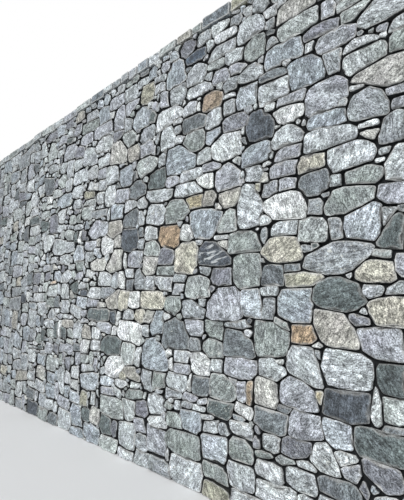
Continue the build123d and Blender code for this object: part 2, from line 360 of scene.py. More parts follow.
    ("blue", 45, 290, 49, 284, 68, 282, 69, 297, 67, 305, 50, 306, 43, 305),
    ("greenPale", 75, 300, 79, 290, 84, 288, 105, 289, 112, 296, 113, 302, 104, 305, 88, 307, 78, 304),
    ("mid", 114, 291, 124, 291, 124, 303, 114, 303),
    ("dark", 71, 287, 78, 288, 75, 298, 71, 297),
    ("pale", 14, 269, 30, 266, 34, 270, 35, 283, 33, 289, 15, 288),
    ("light", -1, 273, 10, 272, 13, 286, -4, 286),
    ("dark", 36, 284, 47, 284, 43, 290, 37, 290),
    ("dark", 63, 269, 70, 267, 76, 265, 92, 268, 91, 278, 84, 283, 72, 285, 64, 281),
    ("greenDark", 98, 271, 104, 269, 122, 268, 124, 279, 124, 290, 110, 289, 100, 285),
    ("lilac", 36, 270, 42, 266, 52, 266, 61, 268, 61, 280, 48, 282, 37, 283),
    ("pale", 1, 267, 12, 266, 13, 271, 2, 272),
    ("mid", -16, 258, 19, 256, 20, 262, 12, 265, -12, 266),
    ("blue", 27, 249, 50, 249, 52, 258, 50, 265, 35, 267, 28, 258),
    ("light", 20, 250, 26, 250, 27, 264, 21, 262),
    ("pale", 54, 254, 60, 253, 70, 257, 76, 257, 75, 262, 66, 266, 56, 266),
    ("pale", 78, 256, 82, 254, 95, 254, 97, 259, 90, 264, 80, 265),
    ("dark", 53, 243, 55, 238, 68, 236, 78, 235, 80, 250, 77, 256, 68, 255, 58, 252),
    ("mid", 82, 236, 90, 235, 92, 240, 88, 250, 82, 251),
    ("light", 94, 240, 98, 234, 115, 232, 124, 234, 124, 246, 118, 251, 104, 254, 97, 252),
    ("lilac", -23, 240, -18, 233, 8, 232, 20, 237, 20, 248, -4, 252, -16, 250),
    ("beige", 22, 232, 33, 228, 47, 231, 50, 240, 47, 246, 30, 247, 22, 246),
    ("slate", 53, 215, 60, 211, 78, 211, 80, 220, 79, 233, 60, 234, 52, 234, 52, 222),
    ("dark", 81, 223, 89, 223, 89, 233, 81, 234),
    ("mid", 82, 211, 90, 211, 90, 221, 82, 221),
    ("pale", 92, 222, 97, 219, 112, 219, 113, 228, 107, 232, 94, 232),
    ("white", 6, 217, 10, 212, 22, 209, 30, 213, 33, 222, 28, 229, 20, 232, 10, 231),
    ("beigePale", 35, 218, 48, 217, 51, 224, 48, 230, 36, 228),
    ("beigePale", 21, 192, 30, 190, 53, 191, 53, 200, 54, 209, 50, 213, 36, 213, 30, 206, 22, 198),
    ("white", 55, 192, 60, 193, 60, 208, 55, 208),
    ("lilac", 62, 198, 66, 193, 82, 192, 87, 197, 87, 208, 72, 210, 64, 204),
    ("greenPale", 92, 206, 97, 201, 112, 201, 117, 206, 114, 215, 104, 217, 94, 215),
    ("beigePale", 91, 188, 95, 183, 106, 183, 112, 190, 115, 198, 104, 200, 92, 200),
    ("beigePale", -14, 194, 20, 193, 22, 200, 18, 207, -16, 204),
    ("pale", 3, 175, 28, 175, 30, 185, 22, 190, 8, 190, 3, 183),
    ("mid", 32, 177, 36, 173, 47, 173, 47, 184, 42, 189, 34, 185),
    ("white", 48, 172, 60, 171, 60, 185, 50, 190, 48, 184),
    ("light", 60, 182, 74, 181, 76, 190, 62, 191),
    ("dark", 62, 169, 75, 169, 75, 179, 62, 179),
    ("mid", 77, 170, 92, 169, 94, 177, 89, 186, 84, 190, 77, 190),
    ("light", 96, 169, 108, 168, 109, 181, 97, 182),
    ("light", 111, 174, 118, 169, 134, 166, 137, 178, 118, 181, 112, 181),
    ("pale", -18, 163, -8, 160, 8, 160, 8, 172, -12, 173),
    ("mid", 10, 161, 24, 161, 38, 168, 30, 171, 10, 172),
    ("beige", 20, 158, 25, 150, 30, 148, 44, 148, 45, 160, 48, 168, 38, 166, 24, 160),
    ("cream", 46, 148, 64, 148, 66, 158, 66, 167, 50, 168, 46, 160),
    ("white", 70, 150, 82, 149, 83, 160, 82, 166, 69, 166),
    ("cream", 87, 150, 105, 149, 123, 150, 127, 158, 120, 165, 100, 166, 88, 166),
    ("greenDark", -21, 136, 15, 134, 28, 135, 29, 147, 20, 149, -18, 147),
    ("slate", 30, 135, 42, 132, 44, 140, 43, 147, 32, 147),
    ("white", 45, 132, 50, 131, 51, 146, 46, 147),
    ("pale", 55, 138, 75, 138, 76, 144, 68, 149, 58, 146),
    ("cream", 78, 136, 92, 135, 95, 146, 92, 149, 79, 148),
    ("beigePale", 97, 138, 108, 138, 110, 147, 98, 148),
    ("blue", 105, 126, 121, 126, 122, 138, 124, 148, 112, 147, 108, 136),
    ("white", 47, 122, 52, 118, 72, 116, 85, 114, 89, 120, 88, 130, 82, 136, 52, 137, 48, 130),
    ("light", 91, 124, 98, 122, 104, 127, 102, 132, 92, 133),
    ("lilac", 15, 124, 34, 124, 36, 130, 30, 134, 12, 134, 0, 128),
    ("white", 37, 122, 44, 122, 44, 129, 39, 130),
    ("pale", -8, 116, 8, 114, 12, 124, 8, 127, -8, 127),
    ("greenDark", 13, 102, 25, 100, 48, 101, 52, 105, 54, 114, 44, 118, 20, 116, 13, 113),
    ("pale", -9, 101, 10, 101, 12, 112, -7, 112),
    ("greenPale", 53, 103, 58, 95, 62, 92, 76, 95, 79, 104, 78, 111, 60, 114, 55, 112),
    ("pale", 80, 94, 87, 92, 89, 103, 88, 110, 81, 110),
    ("blue", 90, 95, 96, 92, 128, 93, 130, 100, 128, 106, 120, 114, 110, 121, 98, 120, 91, 110),
    ("white", 24, 88, 28, 80, 45, 77, 52, 80, 59, 88, 57, 95, 46, 98, 32, 97),
    ("beige", 60, 86, 70, 79, 86, 78, 88, 82, 80, 90, 66, 90),
    ("mid", 90, 80, 98, 72, 107, 71, 108, 90, 92, 90),
    ("green", 109, 74, 116, 76, 127, 79, 127, 90, 109, 90),
    ("pale", 45, 70, 60, 69, 68, 73, 60, 76, 46, 75),
    ("light", -177, 376, -155, 376, -153, 390, -160, 400, -175, 398),
    ("pale", -178, 158, -142, 157, -141, 167, -177, 169),
    ("white", -200, 158, -189, 158, -188, 170, -200, 170),
    ("lilacDark", -180, 184, -156, 182, -154, 196, -178, 199),
    ("dark", -200, 182, -183, 181, -182, 198, -200, 198),
    ("light", -297, 311, -280, 310, -279, 332, -296, 335),
    ("beige", -274, 274, -255, 272, -251, 288, -272, 290),
    ("beige", -252, 116, -232, 114, -231, 140, -251, 142),
    ("blue", -289, 120, -269, 118, -268, 144, -288, 146),
    ("lilacDark", -160, 394, -145, 392, -126, 396, -125, 402, -140, 404, -160, 401),
    ("blueWhite", -122, 393, -99, 393, -98, 404, -120, 405),
    ("lilacDark", -96, 397, -73, 396, -72, 405, -95, 405),
    ("beige", -64, 395, -44, 395, -43, 405, -62, 405),
    ("light", -39, 389, -9, 387, -8, 394, -14, 398, -36, 400),
    ("blueWhite", -11, 397, 2, 396, 3, 404, -10, 405),
    ("greenPale", -150, 364, -136, 362, -124, 364, -120, 372, -126, 388, -140, 390, -148, 384),
    ("lilac", -114, 377, -92, 376, -91, 388, -108, 390, -114, 386),
    ("light", -88, 384, -73, 383, -71, 390, -86, 392),
    ("lilac", -69, 380, -62, 376, -52, 377, -50, 391, -62, 392),
    ("green", -49, 376, -28, 373, -8, 376, -8, 385, -28, 384, -48, 388),
    ("greenDark", -89, 373, -72, 371, -70, 376, -88, 380),
    ("lilac", -98, 351, -72, 349, -62, 352, -60, 362, -70, 369, -88, 371, -98, 364),
    ("lilacDark", -66, 350, -58, 345, -40, 342, -38, 350, -42, 356, -58, 361, -65, 358),
    ("lilac", -52, 363, -36, 358, -22, 357, -20, 366, -24, 371, -44, 372, -52, 370),
    ("pale", -117, 351, -110, 351, -110, 359, -116, 359),
    ("slate", -107, 348, -102, 348, -102, 360, -107, 360),
    ("light", -38, 330, -26, 328, -10, 327, -9, 340, -14, 348, -30, 352, -37, 348),
    ("light", -65, 330, -44, 329, -43, 341, -52, 343, -65, 344),
    ("light", -87, 326, -82, 324, -67, 324, -67, 345, -73, 347, -87, 348),
    ("greenPale", -109, 320, -100, 314, -89, 313, -88, 328, -100, 331, -108, 328),
    ("dark", -157, 318, -150, 312, -125, 310, -123, 322, -128, 334, -155, 340),
    ("lilacDark", -121, 318, -111, 318, -111, 329, -120, 331),
    ("light", -108, 336, -90, 334, -90, 347, -100, 349, -107, 346),
    ("light", -142, 344, -114, 343, -113, 350, -128, 354, -141, 352),
    ("light", -162, 351, -149, 350, -147, 359, -160, 361),
    ("mid", -145, 356, -132, 356, -131, 361, -144, 362),
    ("light", -85, 306, -70, 305, -68, 316, -72, 320, -85, 318),
    ("light", -66, 312, -32, 310, -31, 322, -40, 327, -64, 325),
    ("pale", -28, 310, -8, 308, -6, 320, -15, 325, -28, 321),
    ("greenPale", -127, 304, -112, 302, -98, 304, -101, 309, -112, 313, -125, 312),
    ("white", -142, 297, -129, 297, -128, 306, -140, 308),
    ("light", -69, 293, -50, 291, -42, 293, -42, 304, -60, 306, -68, 304),
    ("pale", -30, 297, -14, 291, -4, 291, -5, 300, -24, 304),
    ("blue", -112, 289, -98, 286, -78, 284, -71, 290, -70, 300, -90, 303, -108, 299),
    ("greenPale", -160, 291, -147, 290, -147, 300, -160, 302),
    ("greenPale", -158, 279, -136, 277, -134, 286, -150, 289, -158, 287),
    ("greenPale", -127, 291, -116, 287, -113, 290, -116, 298, -126, 299),
    ("lilacDark", -131, 253, -109, 252, -108, 270, -116, 279, -130, 276),
    ("greenDark", -160, 260, -138, 258, -137, 270, -158, 274),
    ("pale", -107, 264, -86, 262, -84, 274, -86, 281, -106, 281),
    ("pale", -82, 273, -74, 272, -72, 280, -80, 282),
    ("light", -65, 278, -52, 275, -44, 276, -43, 285, -48, 288, -64, 289),
    ("lilacDark", -62, 271, -45, 270, -44, 274, -58, 276),
    ("greenPale", -75, 259, -60, 257, -54, 259, -55, 266, -66, 269, -74, 268),
    ("green", -52, 258, -43, 258, -43, 267, -52, 267),
    ("light", -107, 251, -94, 250, -93, 260, -106, 261),
    ("light", -90, 254, -83, 253, -82, 260, -90, 260),
    ("greenPale", -81, 242, -76, 238, -61, 237, -60, 248, -72, 251, -81, 250),
    ("pale", -152, 232, -145, 227, -126, 229, -114, 240, -113, 246, -130, 252, -142, 250, -150, 242),
    ("light", -123, 227, -117, 222, -90, 221, -82, 223, -81, 236, -92, 240, -108, 242, -118, 236),
    ("light", -79, 222, -66, 220, -59, 224, -60, 233, -78, 235),
    ("white", -47, 231, -41, 231, -40, 246, -46, 247),
    ("greenDark", -58, 233, -49, 233, -49, 246, -58, 247),
    ("lilacDark", -38, 233, -28, 232, -27, 244, -37, 246),
    ("light", -60, 249, -37, 248, -36, 253, -58, 254),
    ("greenPale", -40, 262, -28, 258, -19, 257, -18, 269, -28, 273, -38, 272),
    ("olive", -36, 286, -20, 283, -10, 284, -9, 291, -24, 294, -36, 293),
    ("greenPale", -36, 278, -14, 275, -8, 277, -9, 280, -30, 282),
    ("lilac", -33, 222, -12, 220, -2, 222, -3, 228, -30, 229),
    ("blueWhite", -58, 212, -56, 207, -34, 207, -32, 216, -36, 226, -52, 227),
    ("light", -98, 215, -92, 208, -73, 204, -69, 210, -71, 217, -84, 218),
    ("pale", -127, 210, -106, 210, -104, 216, -124, 218),
    ("light", -160, 209, -147, 207, -143, 213, -158, 217),
    ("lilac", -148, 200, -129, 200, -128, 208, -147, 209),
    ("light", -29, 206, -12, 203, -9, 214, -26, 216),
    ("light", -68, 198, -52, 198, -52, 203, -66, 204),
    ("blueWhite", -113, 187, -98, 185, -92, 187, -92, 197, -110, 198),
    ("lilacDark", -140, 188, -124, 187, -122, 196, -138, 197),
    ("pale", -153, 182, -145, 182, -144, 197, -152, 198),
    ("light", -90, 184, -74, 183, -63, 186, -62, 195, -74, 197, -88, 193),
    ("lilac", -50, 185, -32, 185, -31, 192, -44, 194),
    ("pale", -27, 187, -6, 185, -5, 191, -22, 196),
    ("greenPale", -143, 172, -131, 172, -131, 182, -142, 182),
    ("greenPale", -128, 166, -104, 165, -103, 179, -126, 180),
    ("light", -101, 167, -91, 166, -91, 179, -100, 180),
    ("pale", -88, 163, -70, 161, -65, 172, -72, 179, -88, 179),
    ("beigePale", -65, 163, -57, 160, -53, 163, -60, 171, -64, 170),
    ("greenDark", -63, 175, -54, 169, -45, 168, -43, 179, -60, 180),
    ("light", -39, 173, -24, 172, -22, 178, -36, 180),
    ("slate", -32, 165, -21, 165, -20, 170, -31, 171),
    ("blueWhite", -46, 152, -24, 150, -22, 161, -45, 163),
    ("lilac", -19, 152, 3, 151, 5, 158, -18, 160),
    ("light", -160, 141, -140, 138, -130, 147, -134, 155, -158, 156),
    ("green", -139, 158, -130, 158, -130, 168, -138, 168),
    ("green", -128, 152, -109, 151, -108, 160, -126, 161),
    ("dark", -106, 151, -91, 150, -90, 164, -100, 165, -105, 160),
    ("light", -85, 144, -67, 143, -65, 150, -67, 157, -84, 158),
    ("light", -62, 145, -52, 139, -37, 138, -35, 146, -48, 151, -60, 154),
    ("light", -128, 138, -122, 133, -108, 135, -101, 139, -110, 146, -120, 146),
    ("pale", -106, 142, -94, 141, -93, 147, -105, 147),
    ("light", -136, 126, -124, 123, -110, 123, -109, 131, -122, 133, -134, 132),
    ("blue", -160, 122, -152, 121, -151, 135, -160, 136),
    ("dark", -148, 124, -139, 124, -139, 134, -147, 135),
    ("greenPale", -128, 111, -106, 109, -106, 118, -124, 120),
    ("greenDark", -141, 104, -131, 104, -131, 118, -140, 118),
    ("green", -160, 101, -144, 100, -144, 111, -158, 111),
    ("white", -92, 110, -87, 109, -84, 132, -90, 133),
    ("greenDark", -101, 110, -94, 109, -94, 129, -100, 130),
    ("beige", -80, 127, -62, 125, -53, 127, -53, 133, -70, 134, -80, 133),
    ("greenDark", -81, 110, -70, 109, -69, 118, -72, 123, -81, 124),
    ("greenPale", -66, 112, -54, 111, -52, 116, -53, 122, -64, 122),
    ("light", -50, 113, -31, 112, -30, 129, -40, 132, -49, 131),
    ("beige", -28, 115, -10, 114, -9, 127, -20, 130, -27, 124),
    ("lilac", -33, 132, -18, 132, -17, 136, -30, 137),
    ("white", -12, 130, -3, 130, 1, 134, -9, 135),
    ("white", -29, 97, -12, 98, -12, 109, -28, 110),
    ("dark", -49, 96, -32, 96, -32, 106, -48, 106),
    ("lilac", -70, 95, -52, 93, -52, 104, -69, 104),
    ("lilac", -130, 92, -122, 88, -108, 88, -107, 99, -112, 103, -128, 100),
    ("lilacDark", -104, 91, -90, 89, -89, 100, -102, 102),
    ("lilac", -87, 93, -74, 94, -73, 103, -86, 104),
    ("greenPale", -28, 87, -14, 86, -12, 93, -27, 93),
]


# Tones of the split faces when dry, by the names used in the list of laid stones
tones = {
    "pale": "#D3D7D8",
    "light": "#C3C8CA",
    "mid": "#A9AEB1",
    "blue": "#AAB2B8",
    "blueWhite": "#C3CAD0",
    "lilac": "#B5B8BE",
    "green": "#9FA6A3",
    "greenPale": "#BBC1BF",
    "dark": "#7A8083",
    "blueDark": "#858D93",
    "slate": "#5A6067",
    "slateVeined": "#5A6067",
    "slateBlue": "#586471",
    "greenDark": "#6C7575",
    "lilacDark": "#8B8D94",
    "white": "#E4E6E5",
    "beige": "#B4B1A9",
    "beigePale": "#C7C6C0",
    "cream": "#C9C5B7",
    "olive": "#ABA999",
    "yellow": "#BAB095",
    "tan": "#B8A68E",
    "rust": "#B59E84",
    "salmon": "#A89785",
}

# How often each tone turns up where no listed stone is laid
toneShare = {
    "pale": 11, "light": 22, "mid": 18, "blue": 10, "blueWhite": 6, "lilac": 9, "green": 8, "greenPale": 12,
    "dark": 5, "slate": 1, "greenDark": 2.5, "lilacDark": 4, "white": 2.5, "beige": 1, "beigePale": 2,
    "cream": 0.5, "olive": 1, "rust": 0.1,
}  # fmt: skip


def toLinear(hexColour):
    values = [int(hexColour[i : i + 2], 16) / 255 for i in (1, 3, 5)]
    return [v / 12.92 if v <= 0.04045 else ((v + 0.055) / 1.055) ** 2.4 for v in values]


# The four faces of the wall
endX = cadHigh.x
frontY = cadLow.y
backFootY = cadHigh.y
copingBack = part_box("coping_stone_01")[1].y
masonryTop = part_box("facing_lift_8")[1].z
slopeLength = math.hypot(backFootY - copingBack, masonryTop)
slope = ((copingBack - backFootY) / slopeLength, masonryTop / slopeLength)  # y and z of one metre up the back
ends = {"up": (0, 0, 1), "spacing": 0.030, "sizes": (0.14, 0.44, 0.10, 0.26)}  # what the two ends share

# Each face has its own flat sheet: u runs to the right and v up, as seen from outside it
faces = {
    "front": {
        "origin": (0, frontY, 0),
        "right": (1, 0, 0),
        "up": (0, 0, 1),
        "edge": [(-endX, 0), (endX, 0), (endX, masonryTop), (-endX, masonryTop)],
        "seed": 11,
        "spacing": 0.015,
        "coarser": ((1.5, 0.018), (0, 0.024)),  # left of this place the stones' meshes get this spacing
        "sizes": (0.15, 0.56, 0.10, 0.29),
    },
    "back": {
        "origin": (0, backFootY, 0),
        "right": (-1, 0, 0),
        "up": (0, slope[0], slope[1]),
        "edge": [(-endX, 0), (endX, 0), (endX, slopeLength), (-endX, slopeLength)],
        "seed": 23,
        "spacing": 0.036,
        "sizes": (0.16, 0.56, 0.12, 0.29),
    },
    "right": {
        "origin": (endX, 0, 0),
        "right": (0, 1, 0),
        "edge": [(frontY, 0), (backFootY, 0), (copingBack, masonryTop), (frontY, masonryTop)],
        "seed": 37,
        **ends,
    },
    "left": {
        "origin": (-endX, 0, 0),
        "right": (0, -1, 0),
        "edge": [(-backFootY, 0), (-frontY, 0), (-frontY, masonryTop), (-copingBack, masonryTop)],
        "seed": 41,
        **ends,
    },
}

# Laying out the stones
layout = {
    "cell": 0.05,  # grid on which the random rubble is packed
    "perpend": (0.007, 0.016),  # upright joints, narrowest and widest
    "bed": (0.013, 0.028),  # joints under and over a stone
    "tighter": ((0.9, 2.3), (0.66, 1.0)),  # heights, and the share of a laid stone's joint that stays
    "growLaid": 0.050,  # how far a laid stone may swell past its drawn shape to meet its neighbours
    "growBeside": 0.100,  # the same beside the corner stones, from besideFrom on
    "besideFrom": 3.3,
    "growRubble": 0.075,
    "gap": 0.030,  # a place this far from every laid stone takes a stone of its own
    "pinGap": 0.028,  # the same for the small pins that are driven in last
    "pinCell": 0.025,
    "pinSizes": (0.05, 0.12, 0.03, 0.07),  # least and most width, least and most height
    "usual": (1.6, 1.4),  # usual width and height of random rubble, as multiples of the least
    "longest": 3,  # times the height
    "tallest": 2,  # times the width
    "upright": 0.07,  # share of the stones that are laid on end
    "knocked": 0.45,  # share of the corners that are knocked off
    "knock": ((0.08, 0.42), (0.08, 0.38)),  # how much of its two sides goes with a corner, as a share
    "swing": 11.0,  # degrees that a stone may lie out of level
    "wander": 0.026,  # how far a corner strays from the packing grid
    "stray": ((0.060, 0.0075), (0.024, 0.0045)),  # waves in the lines between stones: length and height
    "strayCell": 0.01,
    "rays": 64,
    "step": 0.003,
    "leastRoom": 0.016,  # a stone with less room than this between its neighbours is left out
    "fromEdge": 0.003,
    "chip": 0.035,  # how far the chips in an outline bite in, as a share of the stone
    "underCoping": 0.045,  # how far the top stones reach up into the hollows under the coping
}


def latticeNoise(points, cell, seed):
    # smooth random values from -1 to 1, one per point, with bumps about one cell wide
    scaled = points / cell
    base = np.floor(scaled)
    part = scaled - base
    part = part * part * (3 - 2 * part)
    base = base.astype(np.int64)
    total = np.zeros(len(points))
    for corner in range(8):
        bits = np.array([corner & 1, corner >> 1 & 1, corner >> 2 & 1])
        key = (base + bits) @ np.array([73856093, 19349663, 83492791]) + seed * 2654435761
        key = (key ^ (key >> 13)) * 1274126177 & 0x7FFFFFFF
        key = (key ^ (key >> 11)) * 668265263 & 0x7FFFFFFF
        weight = np.where(bits == 1, part, 1 - part).prod(axis=1)
        total += weight * ((key >> 7 & 0xFFFF) / 32767.5 - 1)
    return total


def hull(points):
    # the corners in order, anticlockwise, with any hollow side left out
    ordered = sorted(set(points))
    halves = []
    for run in (ordered, ordered[::-1]):
        half = []
        for p in run:
            while len(half) > 1:
                (ax, ay), (bx, by) = half[-2], half[-1]
                if (bx - ax) * (p[1] - ay) - (by - ay) * (p[0] - ax) > 1e-9:
                    break
                half.pop()
            half.append(p)
        halves.append(half[:-1])
    return np.array(halves[0] + halves[1])


def sidesOf(corners):
    along = np.roll(corners, -1, axis=0) - corners
    out = np.stack([along[:, 1], -along[:, 0]], axis=1)
    out /= np.linalg.norm(out, axis=1, keepdims=True)
    return out, (out * corners).sum(axis=1)


def reach(shape, points):
    # distance outside a convex shape, negative inside it
    out, offset = shape["sides"]
    return (points @ out.T - offset).max(axis=-1)


def makeShape(corners, tone, grow, kind):
    corners = hull([tuple(c) for c in corners])
    nextCorners = np.roll(corners, -1, axis=0)
    cross = corners[:, 0] * nextCorners[:, 1] - nextCorners[:, 0] * corners[:, 1]
    centre = ((corners + nextCorners) * cross[:, None]).sum(axis=0) / (3 * cross.sum())
    return {
        "corners": corners,
        "sides": sidesOf(corners),
        "centre": centre,
        "low": corners.min(axis=0),
        "high": corners.max(axis=0),
        "tone": tone,
        "grow": grow,
        "kind": kind,
    }


def wanderedBlock(u0, u1, v0, v1, rng):
    # a rough block: corners off the grid, one or two of them knocked off, lying a little out of level
    stray = min(layout["wander"], 0.2 * min(u1 - u0, v1 - v0))
    corners = [(u0, v0), (u1, v0), (u1, v1), (u0, v1)]
    centre = Vector(((u0 + u1) / 2, (v0 + v1) / 2))
    angle = math.radians(rng.gauss(0, layout["swing"] / 2))
    turned = []
    for i, (u, v) in enumerate(corners):
        before = Vector(corners[i - 1])
        after = Vector(corners[(i + 1) % 4])
        here = Vector((u + rng.uniform(-stray, stray), v + rng.uniform(-stray, stray)))
        if rng.random() < layout["knocked"]:
            cutA, cutB = [rng.uniform(*share) for share in layout["knock"]]
            turned += [here.lerp(before, cutA), here.lerp(after, cutB)]
        else:
            turned.append(here)
    cosA, sinA = math.cos(angle), math.sin(angle)
    return [
        (centre.x + (p.x - centre.x) * cosA - (p.y - centre.y) * sinA,
         centre.y + (p.x - centre.x) * sinA + (p.y - centre.y) * cosA)
        for p in turned
    ]  # fmt: skip


def pickTone(rng):
    return rng.choices(list(toneShare), list(toneShare.values()))[0]


def packRubble(face, taken, gap, cell, sizes, rng):
    # fills what the stones so far leave free with blocks a few cells wide and high, from the foot up
    edge = makeShape(face["edge"], "mid", 0, "edge")
    low, high = edge["low"], edge["high"]
    columns = round((high[0] - low[0]) / cell)
    rows = round((high[1] - low[1]) / cell)
    stepU = (high[0] - low[0]) / columns
    stepV = (high[1] - low[1]) / rows
    us = low[0] + (np.arange(columns) + 0.5) * stepU
    vs = low[1] + (np.arange(rows) + 0.5) * stepV
    points = np.stack(np.meshgrid(us, vs), axis=-1)
    free = reach(edge, points) < 0
    for shape in taken:
        free &= reach(shape, points) > (0.001 if shape["kind"] == "quoin" else gap)
    minU, maxU, minV, maxV = sizes
    usualU, usualV = minU * layout["usual"][0], minV * layout["usual"][1]
    shapes = []
    for row in range(rows):
        for column in range(columns):
            if not free[row, column]:
                continue
            wide = max(1, round(rng.triangular(minU, maxU, usualU) / stepU))
            tall = max(1, round(rng.triangular(minV, maxV, usualV) / stepV))
            if rng.random() < layout["upright"]:
                wide, tall = max(1, tall - 1), wide
            run = 1
            while run < wide and column + run < columns and free[row, column + run]:
                run += 1
            rise = 1
            while rise < tall and row + rise < rows and free[row + rise, column : column + run].all():
                rise += 1
            run = min(run, layout["longest"] * rise)
            rise = min(rise, layout["tallest"] * run + (run > 1))
            free[row : row + rise, column : column + run] = False
            u0 = low[0] + column * stepU
            v0 = low[1] + row * stepV
            corners = wanderedBlock(u0, u0 + run * stepU, v0, v0 + rise * stepV, rng)
            shapes.append(makeShape(corners, pickTone(rng), layout["growRubble"], "rubble"))
    return shapes


def strayMap(edge):
    # how far beside its true place each point is looked up, so that the lines between stones wander
    cell = layout["strayCell"]
    low = edge["low"] - 0.3
    counts = np.ceil((edge["high"] + 0.3 - low) / cell).astype(int) + 1
    us, vs = [low[k] + cell * np.arange(counts[k]) for k in range(2)]
    u, v = np.meshgrid(us, vs, indexing="ij")
    spread = np.column_stack([u.ravel(), v.ravel(), np.zeros(u.size)])
    moved = np.zeros((u.size, 2))
    for seed, (length, height) in enumerate(layout["stray"]):
        moved[:, 0] += height * latticeNoise(spread, length, 50 + seed)
        moved[:, 1] += height * latticeNoise(spread, length, 60 + seed)
    return low, cell, moved.reshape(*counts, 2)


def strayed(points, stray):
    low, cell, moved = stray
    place = (points - low) / cell
    base = np.floor(place).astype(int)
    i, j = base[..., 0], base[..., 1]
    s, t = (place - base)[..., 0:1], (place - base)[..., 1:2]
    lower = moved[i, j] * (1 - s) + moved[i + 1, j] * s
    upper = moved[i, j + 1] * (1 - s) + moved[i + 1, j + 1] * s
    return points + lower * (1 - t) + upper * t


def hasRoom(shape, neighbours, blocks):
    centre = shape["centre"][None, :]
    own = reach(shape, centre)[0]
    room = [reach(other, centre)[0] - own for other in neighbours]
    room += [reach(other, centre)[0] for other in blocks]
    return min(room, default=1) > layout["leastRoom"]


def traceOutline(shape, neighbours, blocks, edge, stray, rng):
    # walks out from the stone's middle along each ray to a joint, a corner stone or the edge of the face
    rays, step = layout["rays"], layout["step"]
    angles = np.arange(rays) * (2 * math.pi / rays)
    aim = np.stack([np.cos(angles), np.sin(angles)], axis=1)
    farthest = np.linalg.norm(shape["corners"] - shape["centre"], axis=1).max() + shape["grow"]
    distances = np.arange(0, farthest + step, step)
    points = shape["centre"] + aim[:, None, :] * distances[None, :, None]
    perpend, bed = layout["perpend"], layout["bed"]
    thin, thick = [perpend[k] + (bed[k] - perpend[k]) * np.abs(aim[:, 1]) for k in range(2)]
    waves = [rng.uniform(0, 2 * math.pi) for _ in range(4)]
    wobble = np.sin(angles * 3 + waves[0]) + 0.7 * np.sin(angles * 5 + waves[1])
    wobble = wobble + 0.5 * np.sin(angles * 9 + waves[2])
    joint = (thin + thick) / 2 + (thick - thin) / 4 * wobble
    if shape["kind"] == "laid":
        joint = joint * np.interp(shape["centre"][1], *layout["tighter"])
    looked = strayed(points, stray)
    own = reach(shape, looked)
    tight = np.maximum(own - shape["grow"], reach(edge, points) + layout["fromEdge"])
    for other in neighbours:
        tight = np.maximum(tight, own - reach(other, looked) + joint[:, None])
    for other in blocks:
        tight = np.maximum(tight, joint[:, None] - reach(other, points))
    outside = tight > 0
    first = outside.argmax(axis=1)
    first[~outside.any(axis=1)] = len(distances) - 1
    if (first < 2).sum() > rays // 8:
        return None
    index = np.arange(rays)
    before = tight[index, np.maximum(first - 1, 0)]
    after = tight[index, first]
    share = np.clip(-before / np.maximum(after - before, 1e-9), 0, 1)
    radius = np.maximum((first - 1 + share) * step, 0.004)
    chips = 0.5 * np.sin(angles * 7 + waves[3]) + 0.5 * np.sin(angles * 13 + waves[0])
    radius *= 1 - layout["chip"] * np.clip(chips, 0, 1)
    return shape["centre"] + aim * radius[:, None]


def evenOutline(outline, spacing):
    # the same outline with points at even distances along it
    closed = np.vstack([outline, outline[:1]])
    lengths = np.linalg.norm(np.diff(closed, axis=0), axis=1)
    travelled = np.concatenate([[0], np.cumsum(lengths)])
    count = max(10, round(travelled[-1] / spacing))
    marks = np.arange(count) * travelled[-1] / count
    return np.stack([np.interp(marks, travelled, closed[:, k]) for k in (0, 1)], axis=1)


# Dressing one stone
dressing = {
    "setBack": 0.014,  # how far the flattest stones lie behind the face
    "shoulder": (0.004, 0.013),  # width of the broken edge round a face
    "drop": (0.003, 0.010),  # how far that edge falls back
    "tilt": (0.06, 0.10),  # usual slope of a face, sideways and upwards
    "cuts": (3, 4, 5, 6),  # how many flat breaks a face may have
    "cutSlope": (0.06, 0.90, 0.24),  # least, most and usual
    "cutStart": (0.30, 0.97),  # how far out from the middle a break may start, as a share
    "cutDepth": 0.030,
    "scars": (1, 2, 3),  # how many round scars the edge may have
    "scarWidth": (0.03, 0.07),
    "scarDepth": 0.009,
    "waves": ((0.070, 0.0045), (0.042, 0.0050), (0.021, 0.0022)),  # lengths and heights
    "fullWave": 0.08,  # in a stone smaller than this the first wave is lower
    "furthest": 0.030,  # from here on a face falls back less
    "beyond": 0.15,  # that much less, as a share
    "ring": 0.75,  # spacing of the points along a rim, as a share of the spacing within
    "rows": 0.87,  # the same for the rows of points within
    "insets": ((0.006, 0.75), (0.016, 0.5)),  # two inner rings of points, how far in and the least share kept
    "shake": 0.22,  # how far an inner point is shifted, as a share of the spacing
    "sides": ((0.020, 0.001), (0.068, 0.006)),  # two rings down the sides, how deep and how far drawn in
    "inShade": (0.036, 0.030),  # depth at which a stone starts to take painted shade, and over what length
    "rimShadeAndDirt": (0.00, 0.30),  # how dark the painted shade and dirt along the rim are, from 0 to 1
    "rimShadeAndDirtWidth": (0.004, 0.013),
    "sideShade": (0.90, 1.0),  # painted shade on the two rings down the sides, deep in the joints
    "wear": (0.65, 1.35),  # how pale the broken edge is, from wear and a painted highlight
}


def edgeDistance(points, outline):
    start = outline
    run = np.roll(outline, -1, axis=0) - start
    offset = points[:, None, :] - start[None, :, :]
    share = np.clip((offset * run).sum(axis=2) / np.maximum((run * run).sum(axis=1), 1e-12), 0, 1)
    return np.linalg.norm(offset - run * share[..., None], axis=2).min(axis=1)


def insideOutline(points, outline):
    # counts how often a line to the right of each point crosses the outline
    start, end = outline, np.roll(outline, -1, axis=0)
    y = points[:, 1:2]
    crosses = (start[:, 1] > y) != (end[:, 1] > y)
    rise = np.where(end[:, 1] == start[:, 1], 1e-12, end[:, 1] - start[:, 1])
    meets = start[:, 0] + (y - start[:, 1]) * (end[:, 0] - start[:, 0]) / rise
    return (crosses & (points[:, 0:1] < meets)).sum(axis=1) % 2 == 1


